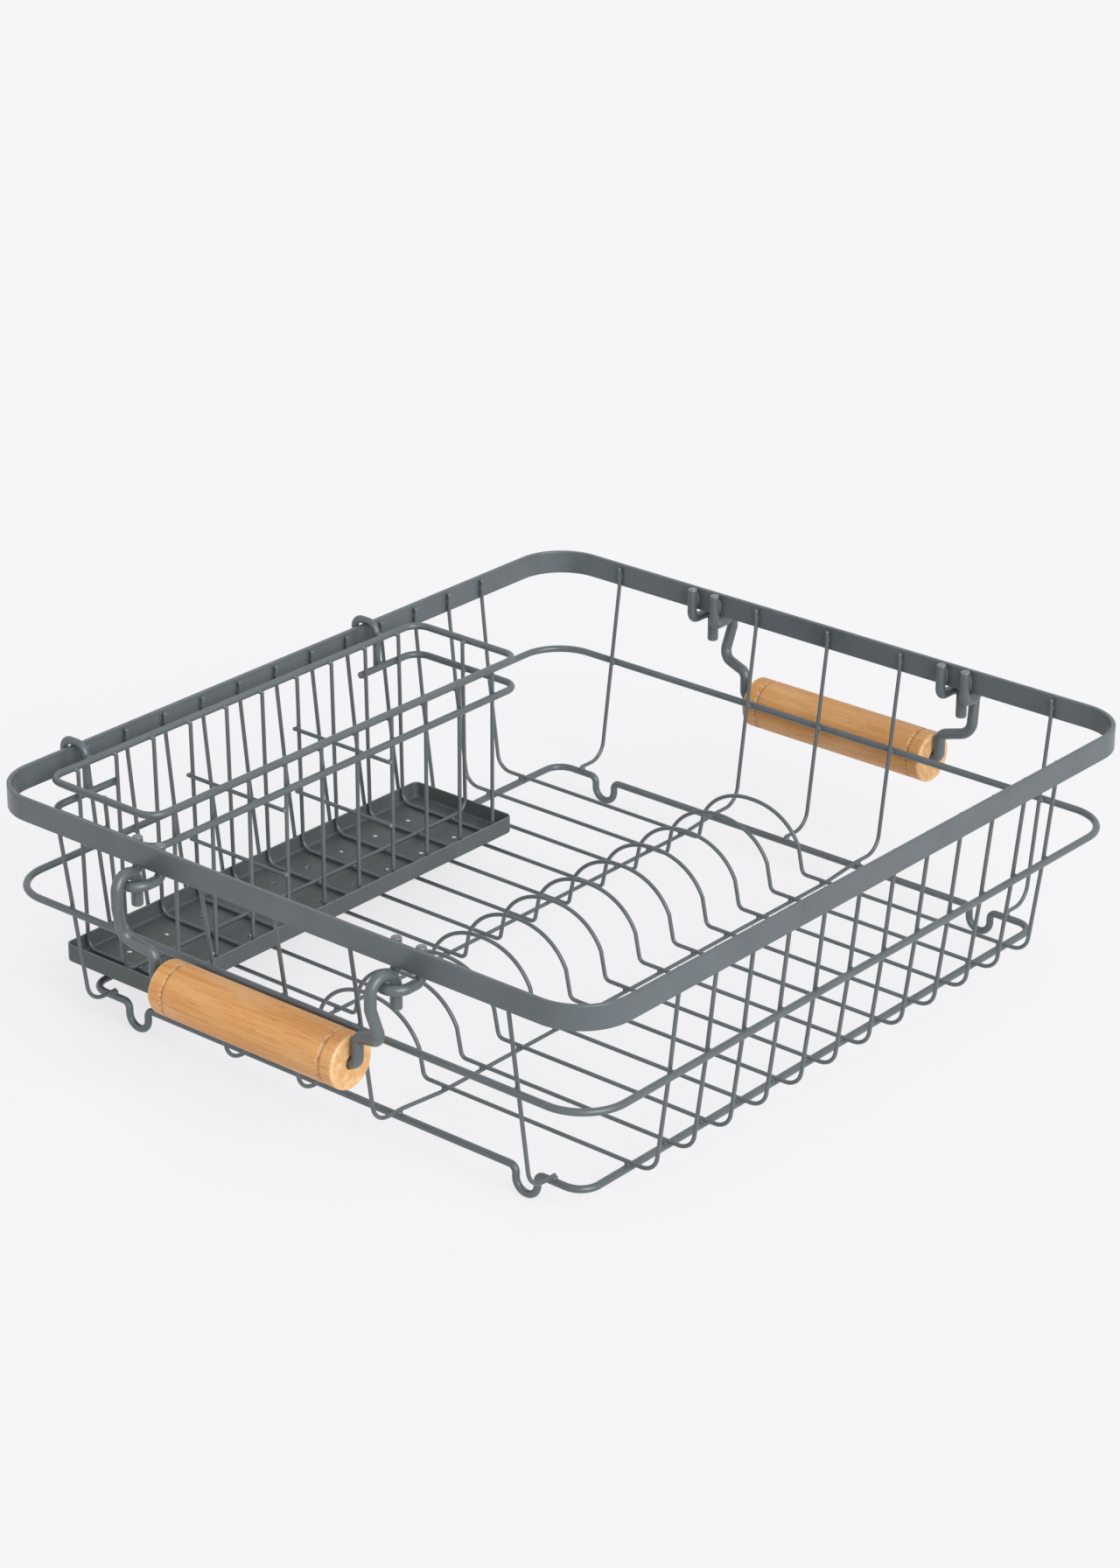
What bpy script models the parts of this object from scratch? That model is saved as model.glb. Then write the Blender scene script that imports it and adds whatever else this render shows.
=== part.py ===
"""Dish drainer: wire rack, two swinging bail handles and a hanging utensil basket.

Metres, +Z up. The origin is on the ground under the middle of the whole box.
X runs along the rack from handle to handle, and the basket hangs on the +Y side.
"""
import math

import bpy
import bmesh
from mathutils import Vector

# Shared values
WELD_GAP = 0.0003           # left between two wires that are welded
CLOSE_GAP = 0.0003          # left between pieces that bear on each other
CUT_OVERRUN = 0.002         # how far a cutter runs past what it cuts
MERGE = 0.00002
THIN_SIDES = 1              # bevel resolution of wires under 2 mm
THICK_SIDES = 2             # bevel resolution of the thicker wires

# Rim, a flat bar on edge
RIM_LENGTH = 0.370
RIM_WIDTH = 0.3304
RIM_TOP = 0.110
RIM_HEIGHT = 0.0108
RIM_THICKNESS = 0.002
RIM_CORNER = 0.0245
RIM_STEPS = 8

# Middle ring
RING_WIRE = 0.0032
MID_END_INSET = 0.006       # ring's centre line inside the rim's ends
MID_SIDE_INSET = 0.0045     # and inside its long sides
MID_DROP = 0.0483           # below the rim's top
MID_CORNER = 0.021

# Base ring and the four feet bent into it
BASE_END_INSET = 0.03025    # ring's centre line inside the rim's ends
BASE_SIDE_INSET = 0.02755   # and inside its long sides
BASE_CORNER = 0.009
FOOT_DEPTH = 0.0105
FOOT_WIDTH = 0.0112         # between the two leg centres
FOOT_INSET = 0.02915        # foot's middle to the ring's long side
FOOT_TOP_BEND = 0.003

# Cross wires
WIRE = 0.0018
CROSS_COUNT = 12
CROSS_END_INSET = 0.02715   # first and last wire inside the base ring's ends
WIRE_TOP_DROP = 0.0015      # wire tips below the rim's top
CROSS_BEND = 0.008
CROSS_CORNER_OUT = 0.0138   # floor corner beyond the base ring
CORNER_STEPS = 4

# Plate arches
ARCH_HALF = 0.030
ARCH_RISE = 0.0283
ARCH_POWER = 2.15
ARCH_POINTS = 9
ARCH_START_SHARE = 0.14     # of the half turn, where the leg leaves its foot bend
ARCH_FOOT_BEND = 0.003

# End wires and rails
END_WIRE_INSET = 0.0425     # outermost end wire inside the rim's long side
END_CORNER_OUT = 0.0145
END_BEND = 0.009
END_TIP_IN = 0.0006         # tip inside the base ring's centre line
RAIL_STEP_START = 0.0045    # inside the base ring, where the rail starts to dip
RAIL_STEP_END = 0.008       # outside the first cross wire, where the dip ends

# Handle eyes
EYE_WIRE = 0.0045
EYE_CENTRE = 0.071
EYE_SPREAD = 0.013
EYE_UNDER = 0.0022          # gap between rim and the level part of the eye
EYE_REACH = 0.0095          # eye's far centre line beyond the rim
EYE_BEND = 0.0035

# Bails
BAIL_WIRE = 0.005
HOOK_SLACK = 0.0006         # bail hooks to the eyes that they ride on
HOOK_RADIUS = 0.0064
HOOK_TIP_DROP = 0.010
SHANK_SKEW = 0.0017         # shank nearer the middle than the hook's tip
SHANK_DROP = 0.0062
ELBOW_IN = 0.0039           # elbow nearer the rim than the shank
ELBOW_DROP = 0.021
ELBOW_BEND = 0.006
CRANK_DROP = 0.0246
BAIL_BEND = 0.0038

# Grips
GRIP_LENGTH = 0.1015
GRIP_RADIUS = 0.01175
GRIP_DROP = 0.0382          # grip axis below the hinge axis
GRIP_IN = 0.0002            # grip axis nearer the rim, which balances the bail
GRIP_PLAY = 0.0052          # both gaps together, between grip and bail legs
GRIP_SLIDE = 0.0018         # the grip lies this far from the middle
GRIP_BORE_CLEAR = 0.0004
GRIP_EDGE = 0.0011          # radius of the rounded ends
GRIP_EDGE_STEPS = 2
GRIP_GROOVE_PLACE = 0.0075
GRIP_GROOVE_WIDTH = 0.0026
GRIP_GROOVE_DEPTH = 0.0005
GRIP_STEPS = 20

# Utensil basket
BASKET_WIRE = 0.0032
BASKET_LENGTH = 0.2302
BASKET_DEPTH = 0.0625
BASKET_END_SPACE = 0.0256   # basket's left end to the rim's end
BASKET_CORNER = 0.008
TOP_RING_DROP = 0.0035
SECOND_RING_SPACE = 0.0141
U_COUNT = 10
U_END_SPACE = 0.01475       # first and last cross wire inside the ring's ends
U_BEND = 0.005
U_SLACK = 0.0003            # from the tray's sides, besides the gap
LONG_BEND = 0.006
LONG_SHIFT = 0.0034         # long wire's floor nearer the front than the tray's middle
STUB_PASTS = (0.0022, 0.0008)       # second ring's ends beyond the cross wires
HOOK_WIRE = 0.0035
HOOK_INSETS = (0.0254, 0.0224)      # left and right hook inside the ring's ends
HOOK_BELOW = 0.0025
HOOK_OUT_CLEAR = 0.0025     # outer leg to the rim's outer face
HOOK_SPAN = 0.0131          # between the centre lines of the two legs
HOOK_BEND = 0.0052
HOOK_OUT_BEND = 0.0042
HOOK_LEG = 0.0114
HOOK_STEPS = 8              # of a bail hook's half turn
DIVIDER_WIRES = (3, 6)      # the cross wires that the dividers stand beside
DIVIDER_DROPS = (0.0105, 0.041)     # below the second ring
DIVIDER_OVERHANG = 0.0012

# Drip tray
TRAY_END_INSET = 0.0031     # tray's ends inside the ring's centre line
TRAY_SIDE_INSET = 0.00135   # and its long sides
TRAY_HEIGHT = 0.0084
TRAY_WALL = 0.0008
TRAY_CORNER = 0.0033
TRAY_BASE_RADIUS = 0.001
TRAY_FLOOR_CLEAR = 0.0049   # above the rack's floor wires
TRAY_BACK_CLEAR = 0.0004    # from the rack's leaning wires, which the back rests on
TRAY_HOLE = 0.0024
TRAY_HOLE_SIDES = 8
TRAY_HOLE_ROWS = 2
TRAY_HOLE_ROW_PITCH = 0.0282

# Worked-out sizes and places of the rack
MID_LENGTH = RIM_LENGTH - MID_END_INSET * 2
MID_WIDTH = RIM_WIDTH - MID_SIDE_INSET * 2
BASE_LENGTH = RIM_LENGTH - BASE_END_INSET * 2
BASE_WIDTH = RIM_WIDTH - BASE_SIDE_INSET * 2
FOOT_CENTRE = BASE_WIDTH / 2 - FOOT_INSET
FIRST_CROSS = BASE_LENGTH / 2 - CROSS_END_INSET
END_PITCH = (RIM_WIDTH / 2 - END_WIRE_INSET) / 3
RIM_INNER_X = RIM_LENGTH / 2 - RIM_THICKNESS
RIM_INNER_Y = RIM_WIDTH / 2 - RIM_THICKNESS
RIM_BOTTOM = RIM_TOP - RIM_HEIGHT
MID_Z = RIM_TOP - MID_DROP
BASE_Z = RING_WIRE / 2 + FOOT_DEPTH
ON_RING = (RING_WIRE + WIRE) / 2 + WELD_GAP
ON_WIRE = WIRE + WELD_GAP
FLOOR_Z = BASE_Z + ON_RING
RAIL_Z = FLOOR_Z - ON_WIRE
WIRE_TOP = RIM_TOP - WIRE_TOP_DROP
BEHIND_RIM = WIRE / 2 + WELD_GAP
HINGE_X = RIM_LENGTH / 2 + EYE_REACH
HINGE_Z = RIM_BOTTOM - EYE_UNDER - EYE_WIRE / 2
CROSS_CORNER_Y = BASE_WIDTH / 2 + CROSS_CORNER_OUT
SIDE_LEAN = (MID_WIDTH / 2 - ON_RING - CROSS_CORNER_Y) / (MID_Z - FLOOR_Z)

# Worked-out sizes and places of the basket
U_PITCH = (BASKET_LENGTH - U_END_SPACE * 2) / (U_COUNT - 1)
TRAY_LENGTH = BASKET_LENGTH - TRAY_END_INSET * 2
TRAY_WIDTH = BASKET_DEPTH - TRAY_SIDE_INSET * 2
BASKET_MIDDLE = BASKET_END_SPACE + BASKET_LENGTH / 2 - RIM_LENGTH / 2
HOOK_OUT_Y = RIM_WIDTH / 2 + HOOK_OUT_CLEAR + HOOK_WIRE / 2
HOOK_IN_Y = HOOK_OUT_Y - HOOK_SPAN
BASKET_BACK = HOOK_IN_Y - (HOOK_WIRE + BASKET_WIRE) / 2 - WELD_GAP
BASKET_FRONT = BASKET_BACK - BASKET_DEPTH
TOP_RING_Z = RIM_TOP - TOP_RING_DROP
SECOND_RING_Z = TOP_RING_Z - SECOND_RING_SPACE
IN_BASKET_RING = (BASKET_WIRE + WIRE) / 2 + WELD_GAP
TRAY_BOTTOM = FLOOR_Z + WIRE / 2 + TRAY_FLOOR_CLEAR
TRAY_REST_Y = CROSS_CORNER_Y + SIDE_LEAN * (TRAY_BOTTOM - FLOOR_Z)
TRAY_BACK = TRAY_REST_Y - WIRE / 2 - TRAY_BACK_CLEAR
TRAY_MIDDLE_Y = TRAY_BACK - TRAY_WIDTH / 2
U_FLOOR = TRAY_BOTTOM + TRAY_WALL + CLOSE_GAP + WIRE / 2
LONG_FLOOR = U_FLOOR + ON_WIRE
IN_TRAY = TRAY_WALL + WIRE / 2 + CLOSE_GAP

SLATE = (0.118, 0.137, 0.146)
TRAY_SLATE = (0.052, 0.060, 0.066)
BAMBOO = (0.64, 0.36, 0.135)


def clear_scene():
    for thing in list(bpy.data.objects):
        bpy.data.objects.remove(thing, do_unlink=True)


def new_collection(name):
    group = bpy.data.collections.new(name)
    bpy.context.scene.collection.children.link(group)
    return group


def new_material(name, colour, roughness, metallic):
    finish = bpy.data.materials.new(name)
    finish.use_nodes = True
    shader = finish.node_tree.nodes["Principled BSDF"]
    shader.inputs["Base Color"].default_value = (*colour, 1.0)
    shader.inputs["Roughness"].default_value = roughness
    shader.inputs["Metallic"].default_value = metallic
    finish.diffuse_color = (*colour, 1.0)
    return finish


def coat(name):
    return new_material(name + "_coat", SLATE, 0.45, 0.3)


def round_corners(points, radii, steps, closed=False):
    """Replace each corner of a polyline by an arc of its own radius."""
    points = [Vector(p) for p in points]
    count = len(points)
    path = []
    for i, corner in enumerate(points):
        at_end = not closed and i in (0, count - 1)
        radius = radii[i] if isinstance(radii, (list, tuple)) else radii
        if at_end or not radius:
            path.append(corner)
            continue
        before = (points[i - 1] - corner).normalized()
        after = (points[(i + 1) % count] - corner).normalized()
        half = before.angle(after) / 2
        middle = corner + (before + after).normalized() * (radius / math.sin(half))
        start = corner + before * (radius / math.tan(half)) - middle
        end = corner + after * (radius / math.tan(half)) - middle
        sweep = start.angle(end)
        for k in range(steps + 1):
            part = k / steps
            arc = start * math.sin((1 - part) * sweep) + end * math.sin(part * sweep)
            path.append(middle + arc / math.sin(sweep))
    return path


def add_wire(name, points, diameter, sides, closed=False):
    """A round wire along a polyline, as a curve with filled ends."""
    curve = bpy.data.curves.new(name, "CURVE")
    curve.dimensions = "3D"
    spline = curve.splines.new("POLY")
    spline.points.add(len(points) - 1)
    for slot, place in zip(spline.points, points):
        slot.co = (*place, 1.0)
    spline.use_cyclic_u = closed
    curve.bevel_depth = diameter / 2
    curve.bevel_resolution = sides
    curve.use_fill_caps = not closed
    spline.use_smooth = True
    wire = bpy.data.objects.new(name, curve)
    PART.objects.link(wire)
    curve.materials.append(coat(name))
    return wire


def rectangle(length, width, z, middle=(0.0, 0.0)):
    """The four corners of a level rectangle, anticlockwise from the right front."""
    mx, my = middle
    signs = ((1, -1), (1, 1), (-1, 1), (-1, -1))
    return [Vector((mx + sx * length / 2, my + sy * width / 2, z)) for sx, sy in signs]


def flat_solid(name, outlines, bottom, height, group):
    """A level plate of the given outlines, as a 2D curve with thickness."""
    curve = bpy.data.curves.new(name, "CURVE")
    curve.dimensions = "2D"
    curve.fill_mode = "BOTH"
    curve.extrude = height / 2
    for outline in outlines:
        spline = curve.splines.new("POLY")
        spline.points.add(len(outline) - 1)
        for slot, place in zip(spline.points, outline):
            slot.co = (place.x, place.y, 0.0, 1.0)
        spline.use_cyclic_u = True
    plate = bpy.data.objects.new(name, curve)
    plate.location = (0.0, 0.0, bottom + height / 2)
    group.objects.link(plate)
    bpy.context.view_layer.update()
    return plate


def as_mesh(thing, group):
    """The same shape as a welded mesh object; the curve is removed."""
    name = thing.name
    place = thing.matrix_world.copy()
    graph = bpy.context.evaluated_depsgraph_get()
    mesh = bpy.data.meshes.new_from_object(thing.evaluated_get(graph))
    weld = bmesh.new()
    weld.from_mesh(mesh)
    bmesh.ops.remove_doubles(weld, verts=weld.verts, dist=MERGE)
    bmesh.ops.recalc_face_normals(weld, faces=weld.faces)
    weld.to_mesh(mesh)
    weld.free()
    bpy.data.objects.remove(thing, do_unlink=True)
    solid = bpy.data.objects.new(name, mesh)
    solid.matrix_world = place
    group.objects.link(solid)
    return solid


def cut(target, cutter):
    cutter.hide_render = True
    cutter.display_type = "WIRE"
    tool = target.modifiers.new("cut_" + cutter.name, "BOOLEAN")
    tool.operation = "DIFFERENCE"
    tool.solver = "EXACT"
    tool.object = cutter


def make_rim():
    """Flat bar on edge, bent into a rounded rectangle and welded shut."""
    outer = round_corners(rectangle(RIM_LENGTH, RIM_WIDTH, 0.0), RIM_CORNER, RIM_STEPS, True)
    inner_size = (RIM_INNER_X * 2, RIM_INNER_Y * 2, 0.0)
    inner = round_corners(rectangle(*inner_size), RIM_CORNER - RIM_THICKNESS, RIM_STEPS, True)
    rim = as_mesh(flat_solid("top_rim", (outer, inner), RIM_BOTTOM, RIM_HEIGHT, PART), PART)
    rim.data.materials.append(coat("top_rim"))


def make_mid_ring():
    corners = rectangle(MID_LENGTH, MID_WIDTH, MID_Z)
    path = round_corners(corners, MID_CORNER, CORNER_STEPS + 2, True)
    add_wire("mid_ring", path, RING_WIRE, THICK_SIDES, True)


def foot_corners(x, y, turn):
    """One foot: down, across and up again along the short side."""
    near = y - turn * FOOT_WIDTH / 2
    far = y + turn * FOOT_WIDTH / 2
    low = BASE_Z - FOOT_DEPTH
    return [(x, near, BASE_Z), (x, near, low), (x, far, low), (x, far, BASE_Z)]


def make_base_ring():
    """Bottom ring, with a U bent down near each corner as a foot."""
    corners = []
    radii = []
    foot_radii = [FOOT_TOP_BEND, FOOT_WIDTH / 2, FOOT_WIDTH / 2, FOOT_TOP_BEND]
    x = BASE_LENGTH / 2
    y = BASE_WIDTH / 2
    for side in (1, -1):
        corners.append((side * x, -side * y, BASE_Z))
        radii.append(BASE_CORNER)
        for end in (-1, 1):
            corners += foot_corners(side * x, side * end * FOOT_CENTRE, side)
            radii += foot_radii
        corners.append((side * x, side * y, BASE_Z))
        radii.append(BASE_CORNER)
    path = round_corners(corners, radii, CORNER_STEPS - 1, True)
    add_wire("base_ring", path, RING_WIRE, THICK_SIDES, True)


def wall_profile(rim_inner, mid_half, corner):
    """Rim tip, rim edge, touch on the middle ring and floor corner of a side wire."""
    behind = rim_inner - BEHIND_RIM
    inside = mid_half - ON_RING
    return [(behind, WIRE_TOP), (behind, RIM_BOTTOM), (inside, MID_Z), (corner, FLOOR_Z)]


def arch_profile():
    """Points of one plate arch from its +Y leg to its -Y leg."""
    points = []
    for k in range(ARCH_POINTS):
        share = ARCH_START_SHARE + (1 - 2 * ARCH_START_SHARE) * k / (ARCH_POINTS - 1)
        turn = math.pi * share
        across = math.copysign(abs(math.cos(turn)) ** (2 / ARCH_POWER), math.cos(turn))
        up = math.sin(turn) ** (2 / ARCH_POWER)
        points.append((ARCH_HALF * across, FLOOR_Z + ARCH_RISE * up))
    return points


def make_cross_wires():
    """Each wire runs down one side, along the floor, over its arch and up the other side."""
    wall = wall_profile(RIM_INNER_Y, MID_WIDTH / 2, CROSS_CORNER_Y)
    wall_radii = [0, 0, 0, CROSS_BEND]
    arch = arch_profile()
    outline = wall + [(ARCH_HALF, FLOOR_Z)] + arch + [(-ARCH_HALF, FLOOR_Z)]
    outline += [(-y, z) for y, z in reversed(wall)]
    radii = wall_radii + [ARCH_FOOT_BEND] + [0] * len(arch) + [ARCH_FOOT_BEND]
    radii += wall_radii[::-1]
    for i in range(CROSS_COUNT):
        x = FIRST_CROSS * (i * 2 / (CROSS_COUNT - 1) - 1)
        path = round_corners([(x, y, z) for y, z in outline], radii, CORNER_STEPS)
        add_wire("cross_wire_%02d" % (i + 1), path, WIRE, THIN_SIDES)


def make_end_wires():
    """Short wires at the ends, from the rim to just past the base ring."""
    corner = BASE_LENGTH / 2 + END_CORNER_OUT
    tip = BASE_LENGTH / 2 - END_TIP_IN
    wall = wall_profile(RIM_INNER_X, MID_LENGTH / 2, corner) + [(tip, FLOOR_Z)]
    for side, end in ((-1, "a"), (1, "b")):
        for i, step in enumerate((-3, 0, 3)):
            points = [(side * x, step * END_PITCH, z) for x, z in wall]
            path = round_corners(points, [0, 0, 0, END_BEND, 0], CORNER_STEPS)
            add_wire("end_wire_%s_%d" % (end, i + 1), path, WIRE, THIN_SIDES)


def make_rails():
    """Two long wires under the cross wires, which rise to the rim at both ends."""
    corner = BASE_LENGTH / 2 + END_CORNER_OUT
    wall = wall_profile(RIM_INNER_X, MID_LENGTH / 2, corner)
    wall.append((BASE_LENGTH / 2 - RAIL_STEP_START, FLOOR_Z))
    wall.append((FIRST_CROSS + RAIL_STEP_END, RAIL_Z))
    outline = wall + [(-x, z) for x, z in reversed(wall)]
    half_radii = [0, 0, 0, END_BEND, 0, 0]
    for i, side in enumerate((-1, 1)):
        points = [(x, side * END_PITCH, z) for x, z in outline]
        path = round_corners(points, half_radii + half_radii[::-1], CORNER_STEPS)
        add_wire("floor_rail_%d" % (i + 1), path, WIRE, THIN_SIDES)


def make_eye(name, end, y):
    """U of thick wire: two legs behind the rim, bent out under it to a level loop."""
    leg_x = RIM_INNER_X - CLOSE_GAP - EYE_WIRE / 2
    half = EYE_SPREAD / 2
    points = []
    for side in (-1, 1):
        leg = [(end * leg_x, y + side * half, RIM_TOP)]
        leg.append((end * leg_x, y + side * half, HINGE_Z))
        leg.append((end * HINGE_X, y + side * half, HINGE_Z))
        points += leg if side < 0 else leg[::-1]
    radii = [0, EYE_BEND, half, half, EYE_BEND, 0]
    path = round_corners(points, radii, CORNER_STEPS + 1)
    add_wire(name, path, EYE_WIRE, THICK_SIDES)


def bail_arm():
    """One arm from the hook's tip to the grip's axis: distance out, across and up."""
    lift = (EYE_WIRE + BAIL_WIRE) / 2 + HOOK_SLACK
    hook_z = HINGE_Z + lift - HOOK_RADIUS
    shank_x = HINGE_X + HOOK_RADIUS
    leg_x = HINGE_X - GRIP_IN
    leg_y = (GRIP_LENGTH + GRIP_PLAY + BAIL_WIRE) / 2
    arm = [(HINGE_X - HOOK_RADIUS, EYE_CENTRE, hook_z - HOOK_TIP_DROP)]
    for k in range(HOOK_STEPS + 1):
        share = k / HOOK_STEPS
        out = HINGE_X - HOOK_RADIUS * math.cos(math.pi * share)
        up = hook_z + HOOK_RADIUS * math.sin(math.pi * share)
        arm.append((out, EYE_CENTRE - SHANK_SKEW * share, up))
    arm.append((shank_x, EYE_CENTRE - SHANK_SKEW, hook_z - SHANK_DROP))
    arm.append((shank_x - ELBOW_IN, EYE_CENTRE, hook_z - ELBOW_DROP))
    arm.append((leg_x, leg_y, hook_z - CRANK_DROP))
    arm.append((leg_x, leg_y, HINGE_Z - GRIP_DROP))
    return arm


def make_bail(name, end):
    """Handle wire: hook, bent arm, crank and a straight run through the grip, then back."""
    half = [(end * x, -y, z) for x, y, z in bail_arm()]
    points = half + [(x, -y, z) for x, y, z in reversed(half)]
    arm_radii = [0] * (HOOK_STEPS + 2) + [BAIL_BEND, ELBOW_BEND, BAIL_BEND, BAIL_BEND]
    path = round_corners(points, arm_radii + arm_radii[::-1], CORNER_STEPS - 1)
    pivot = Vector((end * HINGE_X, 0.0, HINGE_Z))
    bail = add_wire(name, [p - pivot for p in path], BAIL_WIRE, THICK_SIDES)
    bail.location = pivot


def grip_profile():
    """Closed outline of the turned grip: down the outside and up the bore."""
    half = GRIP_LENGTH / 2
    bore = BAIL_WIRE / 2 + GRIP_BORE_CLEAR
    groove = half - GRIP_GROOVE_PLACE
    wide = GRIP_GROOVE_WIDTH / 2
    upper = []
    for k in range(GRIP_EDGE_STEPS + 1):
        turn = math.pi / 2 * k / GRIP_EDGE_STEPS
        inward = GRIP_EDGE * (1 - math.sin(turn))
        upper.append((GRIP_RADIUS - inward, half - GRIP_EDGE * (1 - math.cos(turn))))
    upper += [(GRIP_RADIUS, groove + wide), (GRIP_RADIUS - GRIP_GROOVE_DEPTH, groove)]
    upper += [(GRIP_RADIUS, groove - wide)]
    lower = [(r, -z) for r, z in reversed(upper)]
    return upper + lower + [(bore, -half), (bore, half)]


def make_grip(name, end):
    """Turned grip with a bore for the bail, lying along Y."""
    mesh = bpy.data.meshes.new(name)
    shape = bmesh.new()
    verts = [shape.verts.new((r, 0.0, z)) for r, z in grip_profile()]
    for first, second in zip(verts, verts[1:] + verts[:1]):
        shape.edges.new((first, second))
    shape.to_mesh(mesh)
    shape.free()
    grip = bpy.data.objects.new(name, mesh)
    PART.objects.link(grip)
    turn = grip.modifiers.new("turn", "SCREW")
    turn.axis = "Z"
    turn.steps = GRIP_STEPS
    turn.render_steps = GRIP_STEPS
    turn.use_merge_vertices = True
    turn.merge_threshold = MERGE
    turn.use_smooth_shade = True
    grip.location = (end * (HINGE_X - GRIP_IN), -GRIP_SLIDE, HINGE_Z - GRIP_DROP)
    grip.rotation_euler = (math.pi / 2, 0.0, 0.0)
    mesh.materials.append(new_material(name + "_bamboo", BAMBOO, 0.5, 0.0))


def make_handles():
    for end, tag in ((-1, "a"), (1, "b")):
        for i, side in enumerate((-1, 1)):
            make_eye("handle_eye_%s_%d" % (tag, i + 1), end, side * EYE_CENTRE)
        make_bail("handle_bail_" + tag, end)
        make_grip("handle_grip_" + tag, end)


def make_top_ring():
    middle = (BASKET_MIDDLE, BASKET_BACK - BASKET_DEPTH / 2)
    corners = rectangle(BASKET_LENGTH, BASKET_DEPTH, TOP_RING_Z, middle)
    path = round_corners(corners, BASKET_CORNER, CORNER_STEPS, True)
    add_wire("basket_top_ring", path, BASKET_WIRE, THICK_SIDES, True)


def u_place(k):
    """X of the basket's cross wire number k."""
    return BASKET_MIDDLE + (k - (U_COUNT - 1) / 2) * U_PITCH


def make_second_ring():
    """Lower ring, open at the back, which ends in a stub at each corner."""
    half = BASKET_LENGTH / 2
    left_end = u_place(1) + STUB_PASTS[0]
    right_end = u_place(U_COUNT - 2) - STUB_PASTS[1]
    points = [(left_end, BASKET_BACK, SECOND_RING_Z)]
    points.append((BASKET_MIDDLE - half, BASKET_BACK, SECOND_RING_Z))
    points.append((BASKET_MIDDLE - half, BASKET_FRONT, SECOND_RING_Z))
    points.append((BASKET_MIDDLE + half, BASKET_FRONT, SECOND_RING_Z))
    points.append((BASKET_MIDDLE + half, BASKET_BACK, SECOND_RING_Z))
    points.append((right_end, BASKET_BACK, SECOND_RING_Z))
    path = round_corners(points, BASKET_CORNER, CORNER_STEPS)
    add_wire("basket_second_ring", path, BASKET_WIRE, THICK_SIDES)


def u_profile():
    """Back tip, two floor corners and front tip of a basket cross wire."""
    tray_front = TRAY_BACK - TRAY_WIDTH
    back = (TRAY_BACK - IN_TRAY - U_SLACK, U_FLOOR)
    front = (tray_front + IN_TRAY + U_SLACK, U_FLOOR)
    return [(BASKET_BACK - IN_BASKET_RING, TOP_RING_Z), back, front, (BASKET_FRONT + IN_BASKET_RING, TOP_RING_Z)]


def make_basket_wires():
    outline = u_profile()
    for k in range(U_COUNT):
        points = [(u_place(k), y, z) for y, z in outline]
        path = round_corners(points, U_BEND, CORNER_STEPS)
        add_wire("basket_cross_wire_%02d" % (k + 1), path, WIRE, THIN_SIDES)
    ring_half = BASKET_LENGTH / 2 - IN_BASKET_RING
    tray_half = TRAY_LENGTH / 2 - IN_TRAY - WIRE / 2
    top_y = (BASKET_BACK + BASKET_FRONT) / 2
    floor_y = TRAY_MIDDLE_Y - LONG_SHIFT
    points = []
    for side in (-1, 1):
        wall = [(BASKET_MIDDLE + side * ring_half, top_y, TOP_RING_Z)]
        wall.append((BASKET_MIDDLE + side * tray_half, floor_y, LONG_FLOOR))
        points += wall if side < 0 else wall[::-1]
    path = round_corners(points, LONG_BEND, CORNER_STEPS)
    add_wire("basket_long_wire", path, WIRE, THIN_SIDES)


def make_dividers():
    """Pairs of level wires beside two of the cross wires, from front to back."""
    top_back, low_back, low_front, top_front = u_profile()
    for i, k in enumerate(DIVIDER_WIRES):
        x = u_place(k) - ON_WIRE
        for j, drop in enumerate(DIVIDER_DROPS):
            z = SECOND_RING_Z - drop
            share = (TOP_RING_Z - z) / (TOP_RING_Z - U_FLOOR)
            back = top_back[0] + (low_back[0] - top_back[0]) * share + DIVIDER_OVERHANG
            front = top_front[0] + (low_front[0] - top_front[0]) * share - DIVIDER_OVERHANG
            name = "divider_wire_%d_%s" % (i + 1, ("upper", "lower")[j])
            add_wire(name, [(x, front, z), (x, back, z)], WIRE, THIN_SIDES)


def make_basket_hooks():
    """Two hooks, welded behind the rings, which reach over the rim and down outside it."""
    low = SECOND_RING_Z - HOOK_BELOW
    top = RIM_TOP + CLOSE_GAP + HOOK_WIRE / 2
    outline = [(HOOK_IN_Y, low), (HOOK_IN_Y, top), (HOOK_OUT_Y, top), (HOOK_OUT_Y, top - HOOK_LEG)]
    for side, tag, inset in ((-1, "left", HOOK_INSETS[0]), (1, "right", HOOK_INSETS[1])):
        x = BASKET_MIDDLE + side * (BASKET_LENGTH / 2 - inset)
        points = [(x, y, z) for y, z in outline]
        path = round_corners(points, [0, HOOK_BEND, HOOK_OUT_BEND, 0], CORNER_STEPS)
        add_wire("basket_hook_" + tag, path, HOOK_WIRE, THICK_SIDES)


def drain_holes():
    """One cutter with all the tray's drain holes, in rows between the wires."""
    mesh = bpy.data.meshes.new("drain_holes")
    holes = bmesh.new()
    depth = TRAY_WALL + CUT_OVERRUN * 2
    for row in range(TRAY_HOLE_ROWS):
        y = TRAY_MIDDLE_Y + (row - (TRAY_HOLE_ROWS - 1) / 2) * TRAY_HOLE_ROW_PITCH
        for k in range(U_COUNT - 1):
            x = u_place(k) + U_PITCH / 2
            made = bmesh.ops.create_cone(
                holes, cap_ends=True, segments=TRAY_HOLE_SIDES,
                radius1=TRAY_HOLE / 2, radius2=TRAY_HOLE / 2, depth=depth)
            middle = Vector((x, y, TRAY_BOTTOM + TRAY_WALL / 2))
            bmesh.ops.translate(holes, verts=made["verts"], vec=middle)
    holes.to_mesh(mesh)
    holes.free()
    cutter = bpy.data.objects.new("drain_holes", mesh)
    CUTTERS.objects.link(cutter)
    return cutter


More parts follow.
